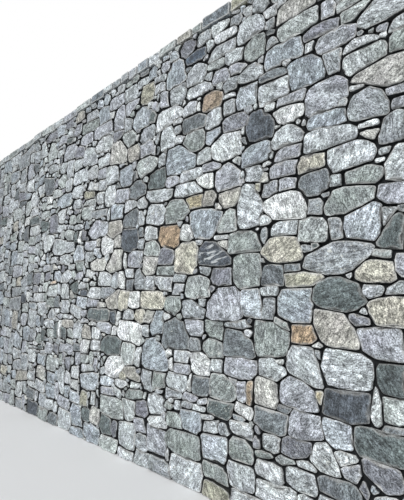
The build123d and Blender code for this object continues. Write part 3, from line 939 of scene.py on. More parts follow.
def faceRelief(points, distance, outline, rng):
    # how far behind the wall's face each point of a split stone lies
    centre = outline.mean(axis=0)
    size = np.linalg.norm(outline - centre, axis=1).mean()
    local = points - centre
    depth = local @ np.array([rng.gauss(0, slant) for slant in dressing["tilt"]])
    for _ in range(rng.choice(dressing["cuts"])):
        angle = rng.uniform(0, 2 * math.pi)
        aim = np.array([math.cos(angle), math.sin(angle)])
        fall = rng.triangular(*dressing["cutSlope"])
        start = rng.uniform(*dressing["cutStart"]) * ((outline - centre) @ aim).max()
        depth = np.maximum(depth, np.minimum((local @ aim - start) * fall, dressing["cutDepth"]))
    for _ in range(rng.choice(dressing["scars"])):
        scar = outline[rng.randrange(len(outline))]
        width = rng.uniform(*dressing["scarWidth"])
        inScar = np.clip(1 - np.linalg.norm(points - scar, axis=1) / width, 0, 1)
        depth = depth + dressing["scarDepth"] * inScar
    seed = rng.randrange(1000)
    spread = np.column_stack([points, np.zeros(len(points))])
    (wide, swell), (middling, ridge), (fine, ripple) = dressing["waves"]
    depth += swell * min(1, size / dressing["fullWave"]) * latticeNoise(spread, wide, seed)
    depth += ridge * np.abs(latticeNoise(spread, middling, seed + 1))
    depth += ripple * latticeNoise(spread, fine, seed + 2)
    depth -= depth.min()
    depth += rng.uniform(0, dressing["setBack"])
    furthest = dressing["furthest"]
    depth = np.minimum(depth, furthest + dressing["beyond"] * (depth - furthest))
    width = min(rng.uniform(*dressing["shoulder"]), 0.45 * size)
    drop = rng.uniform(*dressing["drop"]) * (0.7 + 0.3 * latticeNoise(spread, 0.05, seed + 3))
    near = np.clip(1 - distance / width, 0, 1)
    return depth + drop * near**2.2, near


def dressStone(outline, spacing, rng):
    # one stone on its face's sheet: points as u, v and depth, triangles, and each point's pale arris (wear
    # and painted highlight) and painted shade with some dirt
    ring = evenOutline(outline, dressing["ring"] * spacing)
    centre = ring.mean(axis=0)
    arm = ring - centre
    armLength = np.linalg.norm(arm, axis=1, keepdims=True)
    rings = [ring]
    for inset, least in dressing["insets"]:
        rings.append(centre + arm * np.maximum(1 - inset / armLength, least))
    low, high = ring.min(axis=0), ring.max(axis=0)
    row = spacing * dressing["rows"]
    grid = []
    for j, v in enumerate(np.arange(low[1], high[1], row)):
        us = np.arange(low[0] + (j % 2) * spacing / 2, high[0], spacing)
        grid.append(np.column_stack([us, np.full(len(us), v)]))
    inner = np.vstack(grid) if grid else np.zeros((0, 2))
    far = dressing["shake"]
    shake = np.array([[rng.uniform(-far, far), rng.uniform(-far, far)] for _ in range(len(inner))])
    if len(inner):
        inner = inner + shake.reshape(-1, 2) * spacing
        keep = insideOutline(inner, rings[2]) & (edgeDistance(inner, rings[2]) > 0.5 * spacing)
        inner = inner[keep]
    count = len(ring)
    flat = np.vstack(rings + [inner])
    loops = [(k * count + i, k * count + (i + 1) % count) for k in range(3) for i in range(count)]
    made = delaunay_2d_cdt([Vector(p) for p in flat], loops, [], 1, 1e-7, True)
    if len(made[0]) != len(flat):
        return None
    triangles = np.array(made[2], dtype=np.int64)
    flat = np.array([tuple(p) for p in made[0]])
    order = np.array([ids[0] for ids in made[3]])
    rim = np.empty(count, dtype=np.int64)
    places = {int(o): k for k, o in enumerate(order)}
    for i in range(count):
        rim[i] = places[i]
    inward = edgeDistance(flat, ring)
    depth, near = faceRelief(flat, inward, ring, rng)
    points = np.column_stack([flat, depth])
    # painted shade, with some dirt, darkens the rim next to the joints
    rimShadeAndDirt = rng.uniform(*dressing["rimShadeAndDirt"]) * np.clip(1 - inward / rng.uniform(*dressing["rimShadeAndDirtWidth"]), 0, 1)
    # painted shade: the face darkens towards near black where it lies deep in a joint
    shadeStart, shadeLength = dressing["inShade"]
    shadeAndDirt = np.maximum(np.clip((depth - shadeStart) / shadeLength, 0, 1), rimShadeAndDirt)
    # the broken edge is painted pale: part wear, part painted highlight
    wear = near * rng.uniform(*dressing["wear"])
    side = [points]
    sideTriangles = [triangles]
    shadeAndDirtAll = [shadeAndDirt]
    wearAndHighlightAll = [wear]
    above = rim
    base = len(points)
    for level, (fall, draw) in enumerate(dressing["sides"]):
        outer = centre + arm * np.maximum(1 - draw / armLength, 0.5)
        deep = np.maximum(depth[rim] + 0.009 + 0.020 * level, fall)
        side.append(np.column_stack([outer, deep]))
        below = base + np.arange(count)
        after = np.roll(above, -1)
        afterBelow = np.roll(below, -1)
        sideTriangles.append(np.column_stack([above, below, afterBelow]))
        sideTriangles.append(np.column_stack([above, afterBelow, after]))
        # the sides down in the joint get painted shade, almost as dark as it goes
        shadeAndDirtAll.append(np.full(count, dressing["sideShade"][level]))
        wearAndHighlightAll.append(np.zeros(count))
        above = below
        base += count
    return np.vstack(side), np.vstack(sideTriangles), np.concatenate(wearAndHighlightAll), np.concatenate(shadeAndDirtAll)


# Corner stones and coping blocks
quoins = {
    "course": (0.20, 0.34),  # heights of the corner stones
    "onFace": (0.15, 0.215),  # short and long side on the long faces
    "onEnd": (0.21, 0.36),
    "trimFace": (0.92, 1.0),  # how much of those lengths a stone has
    "trimEnd": (0.9, 1.0),
    "widest": 0.42,  # how much of the wall's thickness one may take
    "round": 0.018,
    "rough": 0.012,
    "spacing": 0.032,
}


def blockLattice(cellsX, cellsY, cellsZ):
    # points and outward quads of a box's skin, as fractions of its sides
    cells = (cellsX, cellsY, cellsZ)
    found = {}
    points = []
    quads = []

    def pointAt(index):
        if index not in found:
            found[index] = len(points)
            points.append([index[k] / cells[k] for k in range(3)])
        return found[index]

    for axis in range(3):
        p, q = (axis + 1) % 3, (axis + 2) % 3
        for side in (0, cells[axis]):
            for i in range(cells[p]):
                for j in range(cells[q]):
                    ring = []
                    for di, dj in ((0, 0), (1, 0), (1, 1), (0, 1)):
                        index = [0, 0, 0]
                        index[axis], index[p], index[q] = side, i + di, j + dj
                        ring.append(pointAt(tuple(index)))
                    quads.append(ring if side else ring[::-1])
    return np.array(points), np.array(quads)


def roughBlock(size, spacing, roundness, rough, rng):
    # a quarried block with broken arrises and uneven faces, from 0, 0, 0 to its size and never beyond it
    size = np.array(size)
    cells = [max(3, math.ceil(s / spacing)) for s in size]
    points, quads = blockLattice(*cells)
    points = points * size
    inner = np.clip(points, roundness, size - roundness)
    outward = points - inner
    length = np.linalg.norm(outward, axis=1, keepdims=True)
    normal = outward / length
    seed = rng.randrange(1000)
    uneven = 0.5 + 0.5 * latticeNoise(points + seed, 0.11, seed)
    uneven = uneven + 0.28 * latticeNoise(points + seed, 0.045, seed + 1)
    uneven = uneven + 0.12 * latticeNoise(points, 0.02, seed + 2)
    points = inner + normal * roundness - normal * rough * np.clip(uneven, 0, 1.3)[:, None]
    # how near each point is to an arris, for the pale arris of wear and painted highlight
    wear = np.clip((length[:, 0] / roundness - 1) / 0.41, 0, 1)
    triangles = np.vstack([quads[:, [0, 1, 2]], quads[:, [0, 2, 3]]])
    return points, triangles, wear


def backYAt(z):
    return backFootY + (copingBack - backFootY) * z / masonryTop


def cornerCourses(rng):
    heights = []
    while sum(heights) < masonryTop:
        heights.append(rng.uniform(*quoins["course"]))
    levels = np.concatenate([[0], np.cumsum(heights)])
    return levels * masonryTop / levels[-1]


def layCorners():
    # corner stones as blocks in space, and the place that each takes on the two faces that it shows in
    rng = random.Random(5)
    placed = []
    taken = {name: [] for name in faces}
    for sideX in (-1, 1):
        for onBack in (False, True):
            levels = cornerCourses(rng)
            for k in range(len(levels) - 1):
                z0, z1 = levels[k], levels[k + 1]
                longOnFace = k % 2 == 0
                onFace = quoins["onFace"][longOnFace] * rng.uniform(*quoins["trimFace"])
                onEnd = quoins["onEnd"][not longOnFace] * rng.uniform(*quoins["trimEnd"])
                onEnd = min(onEnd, quoins["widest"] * (backYAt(z1) - frontY))
                placed.append((sideX, onBack, z0, z1, onFace, onEnd))
                x0, x1 = sorted((sideX * endX, sideX * (endX - onFace)))
                stretch = slopeLength / masonryTop
                if onBack:
                    v0, v1 = z0 * stretch, z1 * stretch
                    rect = [(-x1, v0), (-x0, v0), (-x0, v1), (-x1, v1)]
                    taken["back"].append(makeShape(rect, "mid", 0, "quoin"))
                    y0, y1 = backYAt(z0), backYAt(z1)
                    ys = [(y0 - onEnd, z0), (y0, z0), (y1, z1), (y1 - onEnd, z1)]
                else:
                    rect = [(x0, z0), (x1, z0), (x1, z1), (x0, z1)]
                    taken["front"].append(makeShape(rect, "mid", 0, "quoin"))
                    ys = [(frontY, z0), (frontY + onEnd, z0), (frontY + onEnd, z1), (frontY, z1)]
                endName = "right" if sideX > 0 else "left"
                taken[endName].append(makeShape([(y * sideX, z) for y, z in ys], "mid", 0, "quoin"))
    return placed, taken


def cornerMesh(corner, rng):
    sideX, onBack, z0, z1, onFace, onEnd = corner
    gap = layout["bed"][0] / 2
    size = (onFace, onEnd, z1 - z0 - 2 * gap)
    points, triangles, wear = roughBlock(size, quoins["spacing"], quoins["round"], quoins["rough"], rng)
    z = z0 + gap + points[:, 2]
    x = sideX * (endX - points[:, 0])
    y = backYAt(z) - points[:, 1] if onBack else frontY + points[:, 1]
    if (sideX > 0) != onBack:
        triangles = triangles[:, ::-1]
    return np.column_stack([x, y, z]), triangles, wear


# Materials
def addNode(tree, kind, sockets=None, **settings):
    # one node with its settings; a socket's value may be another node's output
    node = tree.nodes.new(kind)
    for key, value in settings.items():
        setattr(node, key, value)
    for key, value in (sockets or {}).items():
        if isinstance(value, bpy.types.NodeSocket):
            tree.links.new(value, node.inputs[key])
        else:
            node.inputs[key].default_value = value
    return node


def setRamp(node, stops):
    ramp = node.color_ramp
    while len(ramp.elements) < len(stops):
        ramp.elements.new(0.5)
    for element, (position, shade) in zip(ramp.elements, stops):
        element.position = position
        element.color = (shade, shade, shade, 1)
    return node.outputs["Color"]


def newMaterial(name):
    material = bpy.data.materials.new(name)
    material.use_nodes = True
    tree = material.node_tree
    tree.nodes.clear()
    return material, tree


valueNames = ("lot", "lichen", "stain", "wear", "bury", "lime", "vein")  # what every point of a stone carries

granite = {
    "cloud": 0.060,  # m, width of the light and dark clouds in one stone
    "mineral": 0.0095,  # m, clots of mineral, drawn about twice as coarse as they are so that they show
    "band": 0.030,  # m, thickness of the faint bands in the rock
    "streak": 0.013,  # m, thickness of the fine streaks that splitting has drawn over a face
    "lichen": 0.026,  # m, width of a lichen patch
    # near black of the painted shade deep in the joints and along the rims, the rims' with some dirt
    "shadeAndDirtColour": "#121517",
    # each coat follows a value of its stone: the pattern it lies in, where in that it starts if the value is
    # 0 and if it is 1, its colour and its strength
    "coats": (
        ("vein", "band", 0.86, 0.50, "#CDD2D3", 0.70),
        ("stain", "cloud", 0.90, 0.20, "#8C7656", 0.60),
        ("lichen", "lichen", 0.72, 0.30, "#D8DAD3", 0.80),
        ("lime", "lichen", 0.78, 0.50, "#E2E3E0", 0.85),
    ),
    "coatEdge": 0.10,
    "tint": 0.16,  # m, slow drift between greenish and lilac grey
    "tints": ("#F2FAF5", "#F6F5FF"),
    # the broken arris is painted pale, part wear and part painted highlight
    "wornAndHighlitColour": "#DADBD9",
    "wornAndHighlit": 1.15,
    "bump": 0.010,  # m
    "mineralRise": 0.45,  # beside the bands' rise
    "crackRise": 0.12,
    # brightness of each pattern's dark, middle and light places, after where they lie in its noise
    "cloudShades": ((0.34, 0.48), (0.50, 0.99), (0.66, 1.34)),
    "bandShades": ((0.38, 0.78), (0.50, 0.98), (0.62, 1.18)),
    "streakShades": ((0.36, 0.60), (0.50, 1.00), (0.64, 1.30)),
    "mineralShades": ((0.38, 0.38), (0.50, 0.97), (0.62, 1.56)),
    "roughness": ((0.3, 0.94), (0.7, 0.74)),
    "bandStretch": (0.16, 1, 1),
    "streakStretch": (0.4, 1, 1),
    "crackAt": 0.47,  # place in the band noise
    "crackWidth": 0.020,
    "crackShade": 0.12,
}


def splitGranite():
    # split granite: matt and coarse, each face clouded and peppered, paler along the broken arris from wear
    # and a painted highlight
    material, tree = newMaterial("splitGranite")
    coords = addNode(tree, "ShaderNodeTexCoord").outputs["Object"]
    values = {}
    for name in valueNames:
        values[name] = addNode(tree, "ShaderNodeAttribute", attribute_name=name).outputs["Fac"]
    tone = addNode(tree, "ShaderNodeAttribute", attribute_name="tone").outputs["Color"]
    # each stone is cut from its own place in the rock
    place = addNode(
        tree,
        "ShaderNodeVectorMath",
        {0: values["lot"], 1: (37, 17, 29), 2: coords},
        operation="MULTIPLY_ADD",
    ).outputs["Vector"]
    # bands and streaks run their own way in each stone
    angle = addNode(tree, "ShaderNodeMath", {0: values["lot"], 1: math.pi}, operation="MULTIPLY")
    turned = addNode(
        tree,
        "ShaderNodeVectorRotate",
        {"Vector": place, "Angle": angle.outputs["Value"]},
        rotation_type="Y_AXIS",
    )
    drawn = {}
    for name in ("band", "streak"):
        drawn[name] = addNode(
            tree,
            "ShaderNodeVectorMath",
            {0: turned.outputs["Vector"], 1: granite[name + "Stretch"]},
            operation="MULTIPLY",
        ).outputs["Vector"]
    patterns = {
        "cloud": {"Vector": place, "Detail": 4.0, "Roughness": 0.62, "Distortion": 0.6},
        "band": {"Vector": drawn["band"], "Detail": 3.0, "Roughness": 0.6},
        "streak": {"Vector": drawn["streak"], "Detail": 3.0, "Distortion": 1.2},
        "mineral": {"Vector": place, "Detail": 3.0, "Roughness": 0.7, "Distortion": 0.4},
        "tint": {"Vector": place, "Detail": 2.0},
        "lichen": {"Vector": place, "Detail": 5.0, "Roughness": 0.65, "Distortion": 0.8},
    }
    noise = {}
    for name, sockets in patterns.items():
        sockets["Scale"] = 1 / granite[name]
        noise[name] = addNode(tree, "ShaderNodeTexNoise", sockets).outputs["Fac"]
    colour = tone
    greenish, lilac = [(*toLinear(shade), 1) for shade in granite["tints"]]
    tinted = addNode(tree, "ShaderNodeMix", {0: noise["tint"], 6: greenish, 7: lilac}, data_type="RGBA")
    shades = [tinted.outputs[2]]
    for name in ("cloud", "band", "streak", "mineral"):
        ramp = addNode(tree, "ShaderNodeValToRGB", {"Fac": noise[name]})
        shades.append(setRamp(ramp, granite[name + "Shades"]))
    # thin dark cracks follow the bands
    away = addNode(tree, "ShaderNodeMath", {0: noise["band"], 1: granite["crackAt"]}, operation="SUBTRACT")
    away = addNode(tree, "ShaderNodeMath", {0: away.outputs["Value"]}, operation="ABSOLUTE").outputs["Value"]
    crack = addNode(
        tree,
        "ShaderNodeMapRange",
        {"Value": away, "From Max": granite["crackWidth"], "To Min": granite["crackShade"]},
    ).outputs["Result"]
    grey = addNode(tree, "ShaderNodeCombineColor", {"Red": crack, "Green": crack, "Blue": crack})
    shades.append(grey.outputs["Color"])
    for shade in shades:
        sockets = {0: 1.0, 6: colour, 7: shade}
        mix = addNode(tree, "ShaderNodeMix", sockets, data_type="RGBA", blend_type="MULTIPLY")
        colour = mix.outputs[2]
    # lichen and lime lie on the face in patches, rust soaks in as softer clouds
    layers = []
    for name, pattern, bare, full, shade, strength in granite["coats"]:
        low = addNode(
            tree,
            "ShaderNodeMapRange",
            {"Value": values[name], "To Min": bare, "To Max": full},
        ).outputs["Result"]
        top = addNode(tree, "ShaderNodeMath", {0: low, 1: granite["coatEdge"]}, operation="ADD")
        cover = addNode(
            tree,
            "ShaderNodeMapRange",
            {"Value": noise[pattern], "From Min": low, "From Max": top.outputs["Value"], "To Max": strength},
            interpolation_type="SMOOTHSTEP",
        ).outputs["Result"]
        layers.append((cover, shade))
    # the broken arris is painted pale, part wear and part highlight; the rim and what lies deep in a joint
    # get painted shade, the rim with some dirt
    wornAndHighlit = values["wear"]
    for factor in (noise["mineral"], granite["wornAndHighlit"]):
        product = addNode(tree, "ShaderNodeMath", {0: wornAndHighlit, 1: factor}, operation="MULTIPLY")
        wornAndHighlit = product.outputs["Value"]
    layers.append((wornAndHighlit, granite["wornAndHighlitColour"]))
    layers.append((values["bury"], granite["shadeAndDirtColour"]))
    for cover, shade in layers:
        over = (*toLinear(shade), 1)
        mix = addNode(tree, "ShaderNodeMix", {0: cover, 6: colour, 7: over}, data_type="RGBA")
        colour = mix.outputs[2]
    height = noise["band"]
    for source, share in ((noise["mineral"], granite["mineralRise"]), (crack, granite["crackRise"])):
        raised = addNode(tree, "ShaderNodeMath", {0: source, 1: share, 2: height}, operation="MULTIPLY_ADD")
        height = raised.outputs["Value"]
    bump = addNode(tree, "ShaderNodeBump", {"Height": height, "Strength": 1.0, "Distance": granite["bump"]})
    rough = setRamp(addNode(tree, "ShaderNodeValToRGB", {"Fac": noise["mineral"]}), granite["roughness"])
    shader = addNode(
        tree,
        "ShaderNodeBsdfPrincipled",
        {"Base Color": colour, "Roughness": rough, "Normal": bump.outputs["Normal"], "IOR": 1.5},
    )
    addNode(tree, "ShaderNodeOutputMaterial", {"Surface": shader.outputs["BSDF"]})
    return material


def jointMaterial(name, low, high, spread):
    # sandy mortar or small stone in earth: dark, dead matt and lumpy; the mortar's near-black colours are
    # painted shade
    material, tree = newMaterial(name)
    coords = addNode(tree, "ShaderNodeTexCoord").outputs["Object"]
    noise = addNode(
        tree,
        "ShaderNodeTexNoise",
        {"Vector": coords, "Scale": 1 / spread, "Detail": 6.0, "Roughness": 0.7},
    ).outputs["Fac"]
    mix = addNode(
        tree,
        "ShaderNodeMix",
        {0: noise, 6: (*toLinear(low), 1), 7: (*toLinear(high), 1)},
        data_type="RGBA",
    )
    bump = addNode(tree, "ShaderNodeBump", {"Height": noise, "Strength": 0.8, "Distance": 0.004})
    shader = addNode(
        tree,
        "ShaderNodeBsdfPrincipled",
        {"Base Color": mix.outputs[2], "Roughness": 0.95, "Normal": bump.outputs["Normal"]},
    )
    addNode(tree, "ShaderNodeOutputMaterial", {"Surface": shader.outputs["BSDF"]})
    return material


fillings = {
    "mortar": ("#0E1012", "#1E2123", 0.012),  # darkest and palest colour, near black as painted shade deep in the joints, width of the lumps
    "core": ("#3A3B3B", "#7A7B79", 0.05),
}
stoneMaterial = splitGranite()
mortarPaintedShadeMaterial = jointMaterial("mortarWithPaintedShade", *fillings["mortar"])
rubbleMaterial = jointMaterial("rubbleCore", *fillings["core"])


# Making the pieces
# How much lichen, veining and rust a tone has, from 0 to 1, where that isn't the usual amount
toneMarks = {"slate": 0.0, "slateVeined": 0.0, "greenDark": 0.1, "dark": 0.0, "white": 0.26, "pale": 0.22}
toneVeins = {
    "slateVeined": 0.9, "slate": 0.25, "greenDark": 0.45, "dark": 0.45, "lilacDark": 0.35, "slateBlue": 0.4
}  # fmt: skip
toneStains = {"rust": 0.25, "salmon": 0.25, "tan": 0.25, "olive": 0.2, "yellow": 0.2}

# How far stones of one tone differ
ownLook = {
    "brightness": (0.86, 1.06),
    "lichen": (0.10, 0.12),  # usual amount and how far it strays
    "stain": (0.7, 1.3),
    "vein": (0.3, 1.3),
    "usualVein": 0.15,
}

# Lime streaks on the front and its darkening towards the far end and the top, in metres along and up
weather = {
    "limeMiddle": -0.1,
    "limeReach": 1.1,
    "limeUp": (0.7, 1.2, 2.1, 2.9),  # it starts, is full, starts to fade and ends
    "limeEven": (0.25, 0.9),  # how much of it is even, and how much comes and goes
    "streak": (0.11, 0.14),  # width, and how much its height is squeezed to give its length
    "far": (0.9, 1.6, 0.19),  # leftwards: where stones start to get darker, over what length, by how much
    "top": (2.6, 1.4, 0.09),  # the same up the wall
    "skin": 0.1,  # m behind the front's face that take the lime and the darkening with it
}


def newStore():
    return {"points": [], "triangles": [], "tone": [], "values": {k: [] for k in valueNames}, "count": 0}


def stoneLook(tone, rng):
    base = np.array(toLinear(tones[tone]))
    base = base * rng.uniform(*ownLook["brightness"])
    usual, strays = ownLook["lichen"]
    lichen = max(0, rng.gauss(toneMarks.get(tone, usual), strays))
    stain = toneStains.get(tone, 0.0) * rng.uniform(*ownLook["stain"])
    vein = toneVeins.get(tone, ownLook["usualVein"]) * rng.uniform(*ownLook["vein"])
    return base, rng.random(), min(1, lichen), min(1, stain), min(1, vein)


def limeAt(points):
    # whitish streaks that water has drawn down the middle of the front
    x, y, z = points.T
    width, squeeze = weather["streak"]
    streak = latticeNoise(np.column_stack([x, 0 * x, z * squeeze]), width, 71)
    across = np.clip(1 - np.abs((x - weather["limeMiddle"]) / weather["limeReach"]), 0, 1)
    height = np.interp(z, weather["limeUp"], (0, 1, 1, 0))
    even, patchy = weather["limeEven"]
    onFront = y < frontY + weather["skin"]
    return np.clip(even + patchy * streak, 0, 1) * np.sqrt(across) * height * onFront


def darkeningToFarEndAndTop(points):
    # the far end and the top of the front are made darker than its middle
    x, y, z = points.T
    darker = []
    for place, name in ((-x, "far"), (z, "top")):
        start, length, most = weather[name]
        darker.append(most * np.clip((place - start) / length, 0, 1))
    return 1 - (y < frontY + weather["skin"]) * np.maximum(*darker)


def addStone(store, points, triangles, look, wear, bury):
    base, lot, lichen, stain, vein = look
    size = len(points)
    store["points"].append(points)
    store["triangles"].append(triangles + store["count"])
    store["tone"].append(np.column_stack([np.outer(darkeningToFarEndAndTop(points), base), np.ones(size)]))
    rows = {"lot": lot, "lichen": lichen, "stain": stain, "vein": vein, "wear": wear, "bury": bury}
    rows["lime"] = limeAt(points)
    for name, row in rows.items():
        store["values"][name].append(np.broadcast_to(row, size))
    store["count"] += size


sharpFrom = 38  # degrees between two triangles that make an arris


def makePiece(name, points, triangles, material):
    mesh = bpy.data.meshes.new(name)
    mesh.vertices.add(len(points))
    mesh.vertices.foreach_set("co", np.asarray(points, dtype=np.float32).ravel())
    mesh.loops.add(triangles.size)
    mesh.loops.foreach_set("vertex_index", triangles.astype(np.int32).ravel())
    mesh.polygons.add(len(triangles))
    mesh.polygons.foreach_set("loop_start", np.arange(0, triangles.size, 3, dtype=np.int32))
    mesh.update(calc_edges=True)
    mesh.validate()
    mesh.shade_smooth()
    mesh.set_sharp_from_angle(angle=math.radians(sharpFrom))
    mesh.materials.append(material)
    piece = bpy.data.objects.new(name, mesh)
    bpy.context.collection.objects.link(piece)
    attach(piece, "root")
    return piece


def makeStonePiece(name, store):
    points = np.vstack(store["points"])
    triangles = np.vstack(store["triangles"])
    piece = makePiece(name, points, triangles, stoneMaterial)
    mesh = piece.data
    colour = mesh.attributes.new("tone", "FLOAT_COLOR", "POINT")
    colour.data.foreach_set("color", np.vstack(store["tone"]).astype(np.float32).ravel())
    for valueName in valueNames:
        layer = mesh.attributes.new(valueName, "FLOAT", "POINT")
        layer.data.foreach_set("value", np.concatenate(store["values"][valueName]).astype(np.float32))
    print(f"{name}: {len(triangles)} triangles")
    return piece


def toSpace(face, sheetPoints):
    right, up = np.array(face["right"]), np.array(face["up"])
    out = np.cross(right, up)
    u, v, depth = sheetPoints.T
    placed = np.array(face["origin"]) + np.outer(u, right) + np.outer(v, up) - np.outer(depth, out)
    placed[:, 2] = np.maximum(placed[:, 2], 0)
    return placed


# Coping
coping = {
    "round": 0.014,
    "rough": 0.010,
    "spacing": 0.022,
    "hollow": (0.08, 0.20),  # m in from a face: where the hollow under a stone starts to close, and its end
    "lean": (0.014, 0.010, 0.008),  # how far a face lies back: all over, at its top and at one side
    "mostLean": 0.02,
    "lumps": (0.07, 0.006),  # width and height of the lumps on the underside
    "mostRise": 0.05,
}

# Stone by stone from the left end: tone, then how far the underside of its face rises at its left and right
# corner and how far its top lies below the highest, in millimetres
copingStones = (
    ("greenPale", 10, 24, 8), ("light", 36, 8, 16), ("green", 5, 34, 6), ("mid", 38, 26, 12),
    ("greenPale", 4, 16, 18), ("light", 25, 44, 4), ("greenPale", 36, 12, 0), ("light", 6, 30, 12),
    ("lilac", 18, 4, 6), ("greenPale", 34, 20, 14), ("blueDark", 24, 14, 0), ("light", 46, 40, 10),
    ("mid", 32, 28, 17), ("light", 30, 34, 6), ("lilac", 2, 8, 18), ("blue", 6, 0, 4),
    ("light", 2, 14, 12), ("greenPale", 28, 30, 8), ("beige", 42, 36, 4), ("green", 46, 26, 14),
    ("blueDark", 14, 0, 0), ("olive", 4, 12, 10), ("greenPale", 24, 10, 16), ("mid", 12, 34, 6),
    ("light", 28, 6, 0), ("greenPale", 10, 22, 10),
)  # fmt: skip

copingNames = sorted(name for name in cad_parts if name.startswith("coping_stone_"))


def copingUndersides(faceName):
    # the coping's shapes on a face's sheet, so that the stones below reach up to each underside
    shapes = []
    for index, nodeName in enumerate(copingNames):
        leftRise, rightRise = copingStones[index % len(copingStones)][1:3]
        low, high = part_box(nodeName)
        across = [(low.x, low.z + leftRise / 1000), (high.x, low.z + rightRise / 1000)]
        across += [(high.x, high.z), (low.x, high.z)]
        if faceName == "back":
            across = [(-x, z * slopeLength / masonryTop) for x, z in across]
        shapes.append(makeShape(across, "mid", 0, "coping"))
    return shapes


def buildCoping():
    for index, nodeName in enumerate(copingNames):
        own = random.Random(700 + index)
        tone, leftRise, rightRise, drop = copingStones[index % len(copingStones)]
        low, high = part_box(nodeName)
        size = np.array(high - low)
        points, triangles, wear = roughBlock(size, coping["spacing"], coping["round"], coping["rough"], own)
        x, y, z = (points / size).T
        inward = np.minimum(points[:, 1], size[1] - points[:, 1])
        closing, closed = coping["hollow"]
        hollow = np.clip((closed - inward) / (closed - closing), 0, 1)
        rise = (leftRise + (rightRise - leftRise) * x) / 1000
        seed = own.randrange(1000)
        lumpWidth, lumpHeight = coping["lumps"]
        rise = rise + lumpHeight * latticeNoise(points + seed, lumpWidth, seed)
        points[:, 2] += np.clip(rise, 0, coping["mostRise"]) * hollow * (1 - z)
        points[:, 2] -= drop / 1000 * z
        # the faces lean and lie a little behind one another
        back, byHeight, byLength = coping["lean"]
        lean = own.uniform(0.0, back) + own.uniform(-byHeight, byHeight) * z
        lean = lean + own.uniform(-byLength, byLength) * x
        points[:, 1] += np.clip(lean, 0, coping["mostLean"]) * (1 - y)
        store = newStore()
        addStone(store, points + np.array(low), triangles, stoneLook(tone, own), wear, 0.0)
        piece = makeStonePiece(nodeName.replace("stone", "block"), store)
        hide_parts(nodeName)


# Stones on the faces
class Yard:
    # a list of shapes that finds the ones near another quickly
    def __init__(self, shapes):
        self.shapes = shapes
        self.lows = np.array([s["low"] for s in shapes]).reshape(-1, 2)
        self.highs = np.array([s["high"] for s in shapes]).reshape(-1, 2)

    def near(self, shape, margin=0.09):
        hit = ((self.highs > shape["low"] - margin) & (self.lows < shape["high"] + margin)).all(axis=1)
        return [self.shapes[i] for i in np.nonzero(hit)[0] if self.shapes[i] is not shape]


liftCount = sum(name.startswith("facing_lift_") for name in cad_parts)
bandHeight = masonryTop / liftCount
stores = {}


def storeFor(name):
    return stores.setdefault(name, newStore())


# Small stones in the holes that the others leave
fillers = {
    "cell": 0.006,  # grid on which the holes are looked for
    "fromEdge": 0.004,
    "fromCorner": 0.003,
    "roomy": 5,  # cells that have to be free round a hole's middle
    "rays": 28,
    "reach": 0.085,
    "least": 0.020,  # narrower holes stay joints
    "arm": 1.3,  # no part of a stone reaches further than this, as a share of its usual reach
    "joint": 0.009,
    "smallest": 0.008,
    "apart": 0.012,  # kept free round each
    "spacing": 0.024,
}


class FreeGround:
    # which cells of a face's sheet no stone covers yet
    def __init__(self, edge, cell):
        self.cell = cell
        self.low = edge["low"] - 4 * cell
        self.counts = np.ceil((edge["high"] + 4 * cell - self.low) / cell).astype(int)
        us, vs = [self.low[k] + cell * (np.arange(self.counts[k]) + 0.5) for k in range(2)]
        self.points = np.stack(np.meshgrid(us, vs, indexing="ij"), axis=-1)
        self.free = reach(edge, self.points) < -fillers["fromEdge"]

    def window(self, low, high):
        first = np.maximum(((low - self.low) / self.cell).astype(int) - 2, 0)
        last = np.minimum(((high - self.low) / self.cell).astype(int) + 3, self.counts)
        return slice(first[0], last[0]), slice(first[1], last[1])

    def coverShape(self, shape):
        place = self.window(shape["low"], shape["high"])
        self.free[place] &= reach(shape, self.points[place]) > fillers["fromCorner"]

    def coverOutline(self, outline):
        place = self.window(outline.min(axis=0), outline.max(axis=0))
        points = self.points[place]
        inside = insideOutline(points.reshape(-1, 2), outline).reshape(points.shape[:2])
        self.free[place] &= ~inside

    def widest(self, least):
        # free cells at least so many cells from any stone, the roomiest first
        kept = self.free.copy()
        room = kept.astype(int)
        for _ in range(9):
            inner = kept[1:-1, 1:-1] & kept[2:, 1:-1] & kept[:-2, 1:-1] & kept[1:-1, 2:] & kept[1:-1, :-2]
            kept = np.zeros_like(kept)
            kept[1:-1, 1:-1] = inner
            room += kept
        found = np.argwhere(room >= least)
        return found[np.argsort(-room[found[:, 0], found[:, 1]], kind="stable")]


def gapOutlines(ground):
    # a small stone for every hole, reaching almost to its neighbours
    angles = np.arange(fillers["rays"]) * (2 * math.pi / fillers["rays"])
    aim = np.stack([np.cos(angles), np.sin(angles)], axis=1)
    steps = np.arange(0, fillers["reach"], layout["step"])
    outlines = []
    for i, j in ground.widest(fillers["roomy"]):
        if not ground.free[i, j]:
            continue
        centre = ground.points[i, j]
        walk = centre + aim[:, None, :] * steps[None, :, None]
        cells = np.clip(((walk - ground.low) / ground.cell).astype(int), 0, ground.counts - 1)
        blocked = ~ground.free[cells[..., 0], cells[..., 1]]
        first = np.where(blocked.any(axis=1), blocked.argmax(axis=1), len(steps) - 1)
        radius = steps[first]
        if np.median(radius) < fillers["least"]:
            continue
        radius = np.minimum(radius, fillers["arm"] * np.median(radius))
        beside = (np.roll(radius, 1) + np.roll(radius, -1)) / 2
        radius = np.maximum(np.minimum(radius, 1.1 * beside) - fillers["joint"], fillers["smallest"])
        outlines.append(centre + aim * radius[:, None])
        ground.coverOutline(centre + aim * (radius + fillers["apart"])[:, None])
    return outlines


def layStone(faceName, outline, tone, spacing, rng):
    dressed = dressStone(outline, spacing, rng)
    if dressed is None:
        return False
    face = faces[faceName]
    sheetPoints, triangles, wear, bury = dressed
    height = outline[:, 1].mean() * face["up"][2]
    band = min(liftCount, int(height / bandHeight) + 1)
    name = f"lift_{band}_{faceName}" if faceName in ("front", "back") else f"{faceName}_end_rubble"
    addStone(storeFor(name), toSpace(face, sheetPoints), triangles, stoneLook(tone, rng), wear, bury)
    return True


